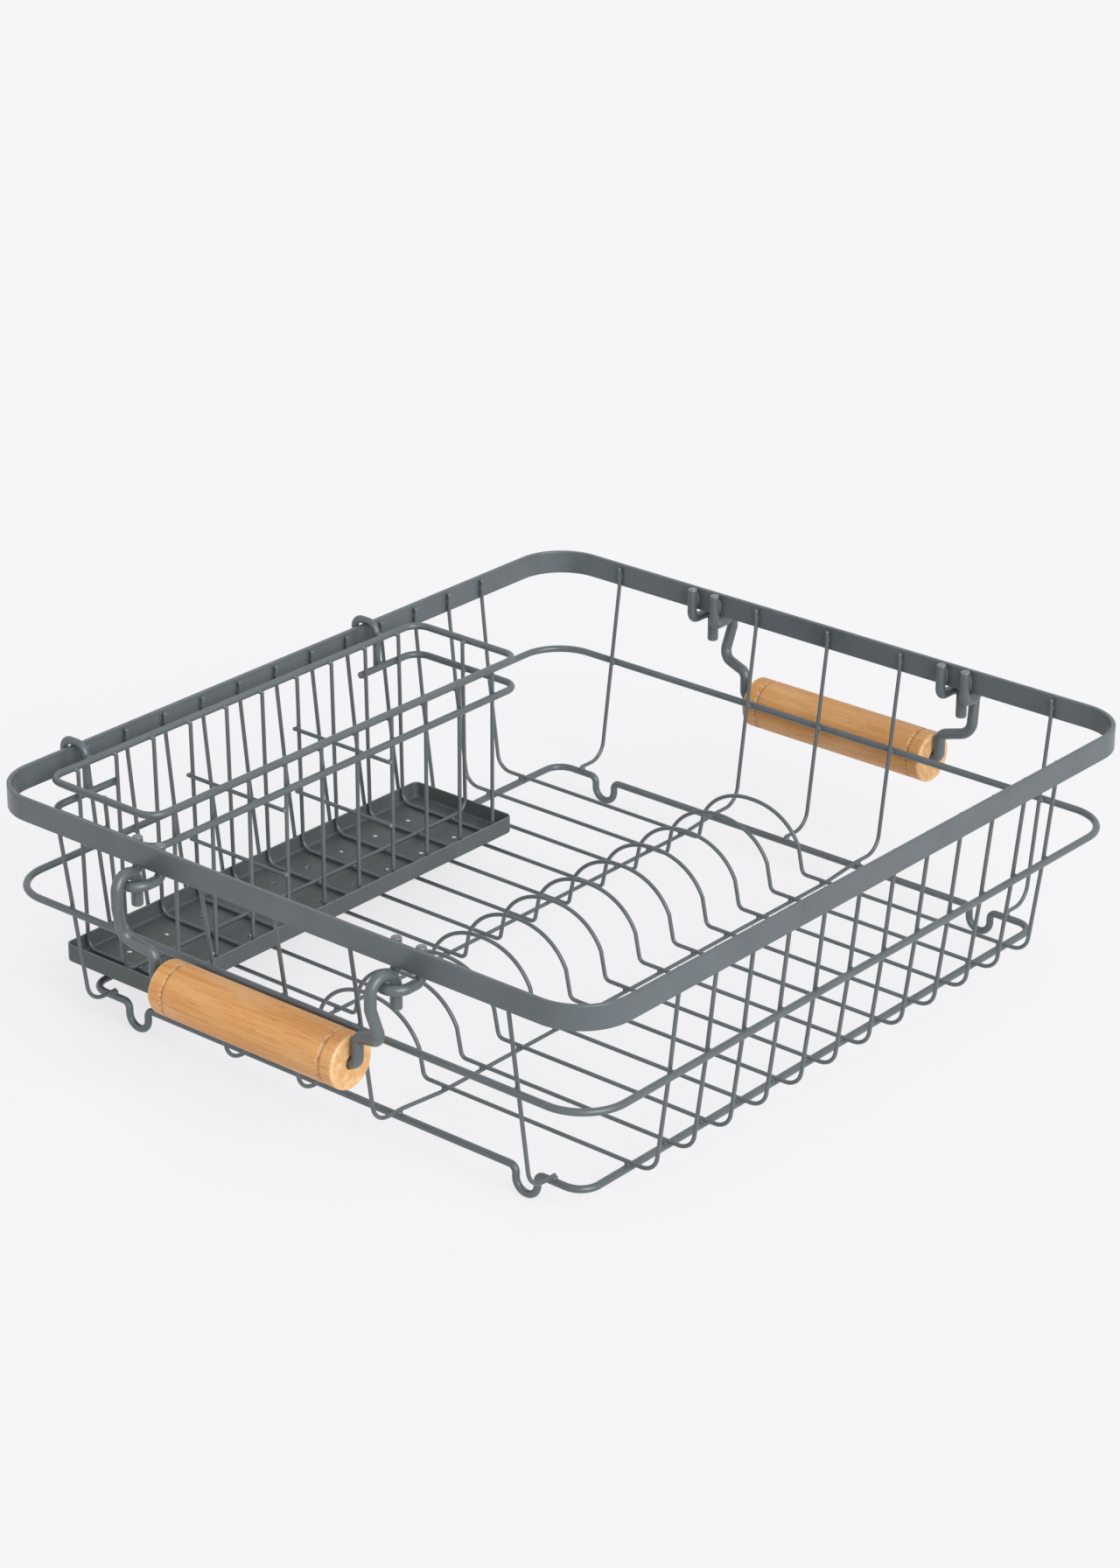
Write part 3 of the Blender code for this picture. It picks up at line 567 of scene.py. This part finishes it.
eye = {"wire": 0.0045, "centre": 0.071, "spread": 0.013, "under": 0.0022, "reach": 0.0095, "bend": 0.0035,
       "steps": 14}
bail = {"wire": 0.005, "slack": 0.0006, "hook": 0.0064, "hookSteps": 25, "steps": 12, "tipDrop": 0.010,
        "skew": 0.0017, "shankDrop": 0.0062, "elbowIn": 0.0039, "elbowDrop": 0.021, "elbowBend": 0.006,
        "crankDrop": 0.0246, "bend": 0.0038}
grip = {"length": 0.1015, "radius": 0.01175, "drop": 0.0382, "inward": 0.0002, "play": 0.0052,
        "slide": 0.0018, "bore": 0.0029, "boreEase": 0.0003, "edge": 0.0011, "ringPlace": 0.0075,
        "ringWidth": 0.0026, "ringDepth": 0.0005, "ringSlope": 0.9, "ringReach": 1.1, "ringFade": 0.3,
        "edgeHighlightGain": 1.6, "around": 72, "edgeSteps": 9, "faceSteps": 7, "ringSteps": 28, "barrelSteps": 50,
        "boreSteps": 12}
hingeX = rimEnd + eye["reach"]
hingeZ = rimBottom - eye["under"] - eye["wire"] / 2


# Down behind the bar, out under it, half a turn at the hinge's axis, and back the same way.
def makeEye(node, sign, y):
    legX = rimEnd - rim["thickness"] - gap - eye["wire"] / 2
    half = eye["spread"] / 2
    corners = [(legX, -half, rimTop), (legX, -half, hingeZ), (hingeX, -half, hingeZ),
               (hingeX, half, hingeZ), (legX, half, hingeZ), (legX, half, rimTop)]
    path = bentPath(corners, [0, eye["bend"], half, half, eye["bend"], 0], steps=eye["steps"])
    newWire(node, "rack", path * [sign, 1, 1] + [0, y, 0], eye["wire"], (0, 1, 1), rodSides)


# One arm of the bail: half a turn over the eye, a shank, an elbow and a crank to the grip's axis.
def makeBail(node, body, sign):
    hookZ = hingeZ + (eye["wire"] + bail["wire"]) / 2 + bail["slack"] - bail["hook"]
    share = np.linspace(0, 1, bail["hookSteps"])
    half = np.column_stack([hingeX - bail["hook"] * np.cos(math.pi * share),
                            eye["centre"] - bail["skew"] * share,
                            hookZ + bail["hook"] * np.sin(math.pi * share)])
    tip = [[hingeX - bail["hook"], eye["centre"], hookZ - bail["tipDrop"]]]
    shankX, shankY = hingeX + bail["hook"], eye["centre"] - bail["skew"]
    legX, legY = hingeX - grip["inward"], (grip["length"] + grip["play"] + bail["wire"]) / 2
    rest = [[shankX, shankY, hookZ - bail["shankDrop"]],
            [shankX - bail["elbowIn"], eye["centre"], hookZ - bail["elbowDrop"]],
            [legX, legY, hookZ - bail["crankDrop"]], [legX, legY, hingeZ - grip["drop"]]]
    arm = np.concatenate([tip, half, rest])
    corners = np.concatenate([arm * [sign, -1, 1], arm[::-1] * [sign, 1, 1]])
    radii = [0] * (len(tip) + len(half)) + [bail["bend"], bail["elbowBend"], bail["bend"], bail["bend"]]
    path = bentPath(corners, radii + radii[::-1], steps=bail["steps"])
    newWire(node, body, path, bail["wire"], (1, 1, 0), rodSides)


# The grip is a turned stick: a profile of radius over length, spun about the grip's axis. The
# ring's dip is (3 t^2 - 2 t^3) of its full depth, with t from 0 at its sides to 1 near its middle.
def gripProfile():
    half, radius, ease = grip["length"] / 2, grip["radius"], grip["edge"]
    ringY, boreEnd = half - grip["ringPlace"], half - grip["boreEase"]
    turn = np.linspace(0, math.pi / 2, grip["edgeSteps"])
    edge = np.column_stack([radius - ease * (1 - np.sin(turn)), half - ease * (1 - np.cos(turn))])
    reach = np.linspace(grip["bore"] + grip["boreEase"], radius - ease, grip["faceSteps"] + 1)[:-1]
    face = np.column_stack([reach, np.full(len(reach), half)])
    fine = ringY + np.linspace(-0.6, 0.6, grip["ringSteps"]) * grip["ringWidth"]
    coarse = np.linspace(half - ease, 0, grip["barrelSteps"])[1:]
    along = np.sort(np.concatenate([coarse, fine]))[::-1]
    t = np.clip((1 - abs(along - ringY) / (grip["ringWidth"] / 2)) / grip["ringSlope"], 0, 1)
    barrel = np.column_stack([radius - t ** 2 * (3 - 2 * t) * grip["ringDepth"], along])
    outside = np.concatenate([face, edge, barrel])
    outside = np.concatenate([outside, outside[-2::-1] * [1, -1]])
    bore = np.linspace(-boreEnd, boreEnd, grip["boreSteps"])
    return np.concatenate([outside, np.column_stack([np.full(len(bore), grip["bore"]), bore])])[::-1]


# The marks are 1 on the ring's floor, on the cut ends and on their rounded edges. The mark on the rounded
# edges places a painted highlight there.
def gripMarks(reach, along):
    half, ease, reachIn = grip["length"] / 2, grip["edge"], grip["radius"] - reach
    fromMiddle = abs(along)
    fromRing = abs(fromMiddle - half + grip["ringPlace"]) / (grip["ringWidth"] / 2)
    onBarrel = reachIn < grip["ringDepth"] * grip["ringReach"]
    fromEdge = np.hypot(reachIn - ease / 3, fromMiddle - half + ease / 3)
    return {"ring": np.clip((grip["ringReach"] - fromRing) / grip["ringFade"], 0, 1) * onBarrel,
            "endFace": (fromMiddle > half - tiny) * 1.0,
            "edge": np.clip((1 - fromEdge / ease) * grip["edgeHighlightGain"], 0, 1)}


def makeGrip(node, body, sign):
    profile, sides = gripProfile(), grip["around"]
    around = np.linspace(0, 2 * math.pi, sides, endpoint=False)[None, :]
    reach, along = profile[:, :1], profile[:, 1:]
    axis = [sign * (hingeX - grip["inward"]), rackMiddle[1] - grip["slide"], hingeZ - grip["drop"]]
    verts = np.stack([reach * np.cos(around), along + 0 * around, -reach * np.sin(around)], -1) + axis
    faces = gridFaces(len(profile), sides, True)
    marks = gripMarks(profile[:, 0], profile[:, 1])
    marks = {key: np.repeat(values, sides) for key, values in marks.items()}
    piece = newPiece(node + "_turned", verts, faces, bamboo, marks, sharpAngle=35)
    fit(piece, body, "bamboo", node)


for sign, tag in ((-1, "a"), (1, "b")):
    makeEye("handle_eye_%s_1" % tag, sign, -eye["centre"])
    makeEye("handle_eye_%s_2" % tag, sign, eye["centre"])
    makeBail("handle_bail_" + tag, "bail_" + tag, sign)
    makeGrip("handle_grip_" + tag, "grip_" + tag, sign)
print("stage 5: handles")

# The utensil basket

basket = {"length": 0.2302, "depth": 0.0625, "endSpace": 0.0256, "corner": 0.008, "topDrop": 0.0035,
          "ringSpace": 0.0141, "wires": 10, "firstWire": 0.01475, "bend": 0.005, "slack": 0.0003,
          "longBend": 0.006, "longShift": 0.0034, "stubs": (0.0022, 0.0008), "dividers": (3, 6),
          "dividerDrops": (0.0105, 0.041), "overhang": 0.0012}
hook = {"wire": 0.0035, "insets": (0.0254, 0.0224), "below": 0.0025, "outClear": 0.0025, "span": 0.0131,
        "bend": 0.0052, "outBend": 0.0042, "leg": 0.0114}
tray = {"endInset": 0.0031, "sideInset": 0.00135, "height": 0.0084, "wall": 0.0008, "corner": 0.0033,
        "baseRadius": 0.001, "wellRadius": 0.0011, "aboveFloor": 0.0049, "backClear": 0.0004,
        "hole": 0.0024, "holeRows": 0.0282, "chamfer": 0.0002, "drillPast": 0.001, "around": 28,
        "bendSteps": 6, "lipSteps": 9, "lipWear": 0.8}

basketX = basket["endSpace"] + basket["length"] / 2 - rimEnd
hookOutY = rimSide + hook["outClear"] + hook["wire"] / 2
hookInY = hookOutY - hook["span"]
hookXs = basketX + np.array([-1, 1]) * (basket["length"] / 2 - np.array(hook["insets"]))
backY = hookInY - (hook["wire"] + thick) / 2 - gap
frontY = backY - basket["depth"]
topRingZ = rimTop - basket["topDrop"]
secondZ = topRingZ - basket["ringSpace"]
trayZ = floorZ + thin / 2 + tray["aboveFloor"]
trayLength = basket["length"] - tray["endInset"] * 2
trayWidth = basket["depth"] - tray["sideInset"] * 2
wireCorner = baseSide + wires["cornerOut"]
leaning = (midSide - onRing - wireCorner) / (midZ - floorZ)        # of the wires behind the tray
trayBack = wireCorner + leaning * (trayZ - floorZ) - thin / 2 - tray["backClear"]
trayY = trayBack - trayWidth / 2
uFloor = trayZ + tray["wall"] + gap + thin / 2
longFloor = uFloor + thin + gap
inTray = tray["wall"] + thin / 2 + gap
uXs = basketX + np.linspace(-1, 1, basket["wires"]) * (basket["length"] / 2 - basket["firstWire"])
uPitch = uXs[1] - uXs[0]
uBack = np.array([[backY - onRing, topRingZ], [trayBack - inTray - basket["slack"], uFloor]])
uFront = np.array([[frontY + onRing, topRingZ], [trayBack - trayWidth + inTray + basket["slack"], uFloor]])
longTop = np.array([basket["length"] / 2 - onRing, (backY + frontY) / 2, topRingZ])
longLow = np.array([trayLength / 2 - inTray - thin / 2, trayY - basket["longShift"], longFloor])


# The place across of a basket wire's straight leg at height z, in proportion to the way down.
def legY(leg, z):
    share = (topRingZ - z) / (topRingZ - uFloor)
    return leg[0, 0] + (leg[1, 0] - leg[0, 0]) * share


# Two level rectangles with round corners. The second is open at the back, from just past the
# second wire to just short of the last but one.
def makeBasketRings():
    middle = (basketX, backY - basket["depth"] / 2)
    path = bentPath(rectangle(basket["length"], basket["depth"], topRingZ, middle), basket["corner"], True)
    newWire("basket_top_ring", "basket", path, thick, (0, 0, 1), thickSides, True)
    corners = rectangle(basket["length"], basket["depth"], secondZ, middle)[[2, 3, 0, 1]]
    left = [uXs[1] + basket["stubs"][0], backY, secondZ]
    right = [uXs[-2] - basket["stubs"][1], backY, secondZ]
    path = bentPath([left, *corners, right], [0] + [basket["corner"]] * 4 + [0])
    newWire("basket_second_ring", "basket", path, thick, (0, 0, 1), thickSides)


# Each cross wire goes down the back, over the tray's floor and up the front, and the long wire
# goes down one end, along and up the other. The dividers are straight.
def makeBasketWires():
    outline = np.concatenate([uBack, uFront[::-1]])
    for k, x in enumerate(uXs):
        path = bentPath([(x, y, z) for y, z in outline], [0, basket["bend"], basket["bend"], 0])
        newWire("basket_cross_wire_%02d" % (k + 1), "basket", path, thin, (1, 0, 0), thinSides)
    mirror, middle = np.array([-1, 1, 1]), np.array([basketX, 0, 0])
    corners = [longTop * mirror, longLow * mirror, longLow, longTop]
    path = bentPath([corner + middle for corner in corners], [0, basket["longBend"], basket["longBend"], 0])
    newWire("basket_long_wire", "basket", path, thin, (0, 1, 0), thinSides)
    for i, k in enumerate(basket["dividers"]):
        for drop, level in zip(basket["dividerDrops"], ("upper", "lower")):
            x, z = uXs[k] - thin - gap, secondZ - drop
            front, back = legY(uFront, z) - basket["overhang"], legY(uBack, z) + basket["overhang"]
            path = np.array([(x, front, z), (x, (front + back) / 2, z), (x, back, z)])
            newWire("divider_wire_%d_%s" % (i + 1, level), "basket", path, thin, (1, 0, 0), thinSides)


# Up behind the basket's rings, level over the rim and down outside it.
def makeHooks():
    top = rimTop + gap + hook["wire"] / 2
    outline = [(hookInY, secondZ - hook["below"]), (hookInY, top),
               (hookOutY, top), (hookOutY, top - hook["leg"])]
    for x, tag in zip(hookXs, ("left", "right")):
        path = bentPath([(x, y, z) for y, z in outline], [0, hook["bend"], hook["outBend"], 0])
        newWire("basket_hook_" + tag, "basket", path, hook["wire"], (1, 0, 0), thickSides)


# The tray is a stack of rounded rectangles, each with its own inset and height: up the outside,
# over the lip and down to the floor.
def trayShell():
    wallThick, lip, foot, well = tray["wall"], tray["wall"] / 2, tray["baseRadius"], tray["wellRadius"]
    quarter = np.linspace(0, math.pi / 2, tray["bendSteps"])
    over = np.linspace(math.pi, 0, tray["lipSteps"])
    cosine, sine = 1 - np.cos(quarter), 1 - np.sin(quarter)
    under = np.column_stack([foot * sine, foot * cosine])
    rolled = np.column_stack([lip + lip * np.cos(over), tray["height"] - lip + lip * np.sin(over)])
    inside = np.column_stack([wallThick + well * cosine, wallThick + well * sine])
    loops = []
    for inset, z in np.concatenate([under, rolled, inside]):
        corners = rectangle(trayLength - inset * 2, trayWidth - inset * 2, trayZ + z, (basketX, trayY))
        loops.append(bentPath(corners, tray["corner"] - inset, True))
    count = len(loops[0])
    faces = gridFaces(len(loops), count, False)
    faces.append(list(range(count))[::-1])
    faces.append(list(range(count * (len(loops) - 1), count * len(loops))))
    return newPiece("tray_shell", np.array(loops) + rackMiddle, faces, sheetCoatWithPaintedShade)


# One drill for each hole, wider at both ends, so that it leaves a chamfer at both faces.
def trayDrills(centres):
    past, ease, sides = tray["drillPast"], tray["chamfer"], tray["around"]
    radius = tray["hole"] / 2
    wide = radius + ease + past
    rows = [[wide, -past], [radius, ease], [radius, tray["wall"] - ease], [wide, tray["wall"] + past]]
    rows = np.array(rows)
    turn = np.linspace(0, 2 * math.pi, sides, endpoint=False)[None, :]
    tube = np.stack([rows[:, :1] * np.cos(turn), rows[:, :1] * np.sin(turn), rows[:, 1:] + 0 * turn], -1)
    count = len(rows) * sides
    single = gridFaces(len(rows), sides, False)
    single += [list(range(sides))[::-1], list(range(count - sides, count))]
    faces = [[index + k * count for index in face] for k in range(len(centres)) for face in single]
    return newPiece("drills", centres[:, None] + tube.reshape(1, -1, 3), faces, sheetCoatWithPaintedShade)


# The drills are cut out of the shell. The wear is full at the holes' edges and less on the lip.
def makeTray():
    holeXs = uXs[:-1] + uPitch / 2
    holeYs = trayY + tray["holeRows"] / 2 * np.array([-1, 1])
    centres = spots(holeXs, holeYs, trayZ, 0)[:, :3] + rackMiddle
    shell, drills = trayShell(), trayDrills(centres)
    tool = shell.modifiers.new("holes", "BOOLEAN")
    tool.operation, tool.solver, tool.object = "DIFFERENCE", "EXACT", drills
    bpy.context.view_layer.update()
    cut = bpy.data.meshes.new_from_object(shell.evaluated_get(bpy.context.evaluated_depsgraph_get()))
    places = np.empty(len(cut.vertices) * 3)
    cut.vertices.foreach_get("co", places)
    places = places.reshape(-1, 3)
    away = np.linalg.norm(places[:, None, :2] - centres[None, :, :2], axis=2).min(1)
    inHole = away < (tray["hole"] + tray["chamfer"]) / 2
    onLip = places[:, 2] > trayZ + tray["height"] - tray["wall"] / 2
    wear = np.where(inHole, 1.0, np.where(onLip, tray["lipWear"], 0.0))
    sides = [list(face.vertices) for face in cut.polygons]
    bpy.data.objects.remove(shell)
    bpy.data.objects.remove(drills)
    piece = newPiece("drip_tray_coated", places, sides, sheetCoatWithPaintedShade, {"wear": wear}, sharpAngle=35)
    fit(piece, "basket", "coated_sheet", "drip_tray")


makeBasketRings()
makeBasketWires()
makeHooks()
makeTray()
print("stage 6: utensil basket")

# The welds

# Half sizes along X, along Y and up. A wire's weld is turned at the short ends.
weld = {"onBar": (0.0011, 0.0007, 0.0016), "onRing": (0.0016, 0.0011, 0.0014),
        "onBase": (0.0015, 0.0016, 0.0011), "onWire": (0.0012, 0.0012, 0.0008),
        "onBasket": (0.0013, 0.0011, 0.0011), "eye": (0.0012, 0.0029, 0.0046),
        "hook": (0.0021, 0.0013, 0.0019), "divider": (0.0008, 0.0012, 0.0012)}
weldPlace = {"barInside": 0.0006, "eyeInside": 0.0008, "barDrop": 0.0003, "basketDrop": 0.0004,
             "ringOut": 0.0001}
both = np.array([-1, 1])


def turned(sizes):
    alongX, alongY, upward = sizes
    return alongY, alongX, upward


barZ = barMiddle - weldPlace["barDrop"]
barSide, barEnd = (half - rim["thickness"] - weldPlace["barInside"] for half in (rimSide, rimEnd))
ringSide, ringEnd = (half - thick / 2 - gap / 2 for half in (midSide, midEnd))
eyeEnd = rimEnd - rim["thickness"] - weldPlace["eyeInside"]
allEndYs = np.concatenate([endYs, railYs])
eyeYs = (both[:, None] * eye["centre"] + both[None, :] * eye["spread"] / 2).ravel()
rackWelds = [
    spots(crossXs, both * barSide, barZ, weld["onBar"]),
    spots(crossXs, both * ringSide, midZ, weld["onRing"]),
    spots(crossXs, both * baseSide, baseZ + thick / 2 + gap / 2, weld["onBase"]),
    spots(crossXs, railYs, railZ + thin / 2 + gap / 2, weld["onWire"]),
    spots(both * barEnd, allEndYs, barZ, turned(weld["onBar"])),
    spots(both * ringEnd, allEndYs, midZ, turned(weld["onRing"])),
    spots(both * baseEnd, allEndYs, baseZ + thick / 2 + gap / 2, turned(weld["onBase"])),
    spots(both * eyeEnd, eyeYs, barZ, weld["eye"]),
]
newWelds("rack_welds", "rack", rackWelds)

weldZ = topRingZ - weldPlace["basketDrop"]
ringBack, ringFront = backY - thick / 2, frontY + thick / 2
longEnd = basket["length"] / 2 - thick / 2 - gap / 2
hookWeldY = hookInY - hook["wire"] / 2 - gap / 2
atSecond = longTop + (longLow - longTop) * basket["ringSpace"] / (topRingZ - longFloor)
secondEnd = atSecond[0] + thin / 2 + gap / 2
basketWelds = [
    spots(uXs, [ringBack, ringFront], weldZ, weld["onBasket"]),
    spots(uXs, ringFront + weldPlace["ringOut"], secondZ, weld["onBasket"]),
    spots(uXs[[0, 1, -2, -1]], ringBack - weldPlace["ringOut"], secondZ, weld["onBasket"]),
    spots(basketX + both * longEnd, longTop[1], weldZ, turned(weld["onBasket"])),
    spots(basketX + both * secondEnd, atSecond[1], secondZ, turned(weld["onBasket"])),
    spots(uXs, longLow[1], uFloor + thin / 2 + gap / 2, weld["onWire"]),
    spots(hookXs, hookWeldY, topRingZ, weld["hook"]),
    spots(hookXs, hookWeldY, secondZ, weld["hook"]),
]
for k in basket["dividers"]:
    for drop in basket["dividerDrops"]:
        x, z = uXs[k] - thin / 2 - gap / 2, secondZ - drop
        basketWelds.append(spots(x, [legY(uBack, z), legY(uFront, z)], z, weld["divider"]))
newWelds("basket_welds", "basket", basketWelds)
print("stage 7: welds")

# The floor, the light and the camera

studio = {"floorHalf": 9.0, "floor": (0.86, 0.86, 0.865), "cloudScale": 3.0, "cloudShade": 0.99,
          "roughness": 0.9, "specular": 0.1, "glow": (0.975, 0.97, 0.99), "glowShare": 0.74,
          "worldStrength": 0.55, "sunStrength": 2.5, "sunAngle": 44.0, "sunFrom": (-0.28, -0.90, 0.47),
          "sunHeight": 2.0}
camera = {"place": (-1.228757, -1.033715, 0.812616), "yaw": 40.227, "pitch": 24.107, "roll": 0.111,
          "lens": 94.69, "sensor": 36.0, "farthest": 40.0}


def floorMaterial():
    made, tree, shader = newMaterial("pale_floor")
    place = addNode(tree, "ShaderNodeTexCoord").outputs["Object"]
    cloud = noise(tree, place, studio["cloudScale"])
    shade = np.array(studio["floor"]) * studio["cloudShade"]
    tone = blend(tree, cloud, (*studio["floor"], 1), (*shade, 1))
    tree.links.new(tone, shader.inputs["Base Color"])
    shader.inputs["Roughness"].default_value = studio["roughness"]
    shader.inputs["Specular IOR Level"].default_value = studio["specular"]
    glow = addNode(tree, "ShaderNodeEmission", {"Color": (*studio["glow"], 1)})
    ray = addNode(tree, "ShaderNodeLightPath").outputs
    seen = calc(tree, "MAXIMUM", ray["Is Camera Ray"], ray["Is Glossy Ray"])
    mixed = addNode(tree, "ShaderNodeMixShader", {"Fac": calc(tree, "MULTIPLY", seen, studio["glowShare"])})
    tree.links.new(shader.outputs[0], mixed.inputs[1])
    tree.links.new(glow.outputs[0], mixed.inputs[2])
    surface = next(node for node in tree.nodes if node.bl_idname == "ShaderNodeOutputMaterial")
    tree.links.new(mixed.outputs[0], surface.inputs["Surface"])
    return made


# Three directions and a place as one matrix.
def axes(x, y, z, place):
    return Matrix([(x[k], y[k], z[k], place[k]) for k in range(3)] + [(0, 0, 0, 1)])


# A pale floor, a sky that is brighter in reflections, and one wide sun.
def makeStage():
    half = studio["floorHalf"]
    corners = [(-half, -half, 0), (half, -half, 0), (half, half, 0), (-half, half, 0)]
    floor = newPiece("floor", corners, [[0, 1, 2, 3]], floorMaterial())
    world = bpy.data.worlds.new("studio")
    world.use_nodes = True
    sky, tree = world.node_tree.nodes["Background"], world.node_tree
    sky.inputs["Color"].default_value = (1, 1, 1, 1)
    glossy = addNode(tree, "ShaderNodeLightPath").outputs["Is Glossy Ray"]
    strength = calc(tree, "MULTIPLY_ADD", glossy, 1 - studio["worldStrength"], studio["worldStrength"])
    tree.links.new(strength, sky.inputs["Strength"])
    bpy.context.scene.world = world
    lamp = bpy.data.lights.new("key", "SUN")
    lamp.energy = studio["sunStrength"]
    lamp.angle = math.radians(studio["sunAngle"])
    key = bpy.data.objects.new("key", lamp)
    toLight = unit(np.array(studio["sunFrom"]))
    right = unit(np.cross((0, 0, 1), toLight))
    key.matrix_world = axes(right, np.cross(toLight, right), toLight, (0, 0, studio["sunHeight"]))
    bpy.context.scene.collection.objects.link(key)


# The view goes along (cos pitch cos yaw, cos pitch sin yaw, minus sin pitch), rolled about itself.
def makeCamera():
    yaw, pitch, roll = (math.radians(camera[key]) for key in ("yaw", "pitch", "roll"))
    ahead = np.array([math.cos(pitch) * math.cos(yaw), math.cos(pitch) * math.sin(yaw), -math.sin(pitch)])
    right = unit(np.cross(ahead, (0, 0, 1)))
    up = np.cross(right, ahead)
    right, up = right * math.cos(roll) + up * math.sin(roll), up * math.cos(roll) - right * math.sin(roll)
    lens = bpy.data.cameras.new("camera")
    lens.lens, lens.sensor_width, lens.clip_end = camera["lens"], camera["sensor"], camera["farthest"]
    view = bpy.data.objects.new("camera", lens)
    view.matrix_world = axes(right, up, -ahead, np.array(camera["place"]) + rackMiddle)
    bpy.context.scene.collection.objects.link(view)
    bpy.context.scene.camera = view
    bpy.context.scene.view_settings.view_transform = "Standard"


makeStage()
makeCamera()
print("stage 8: floor, light and camera")
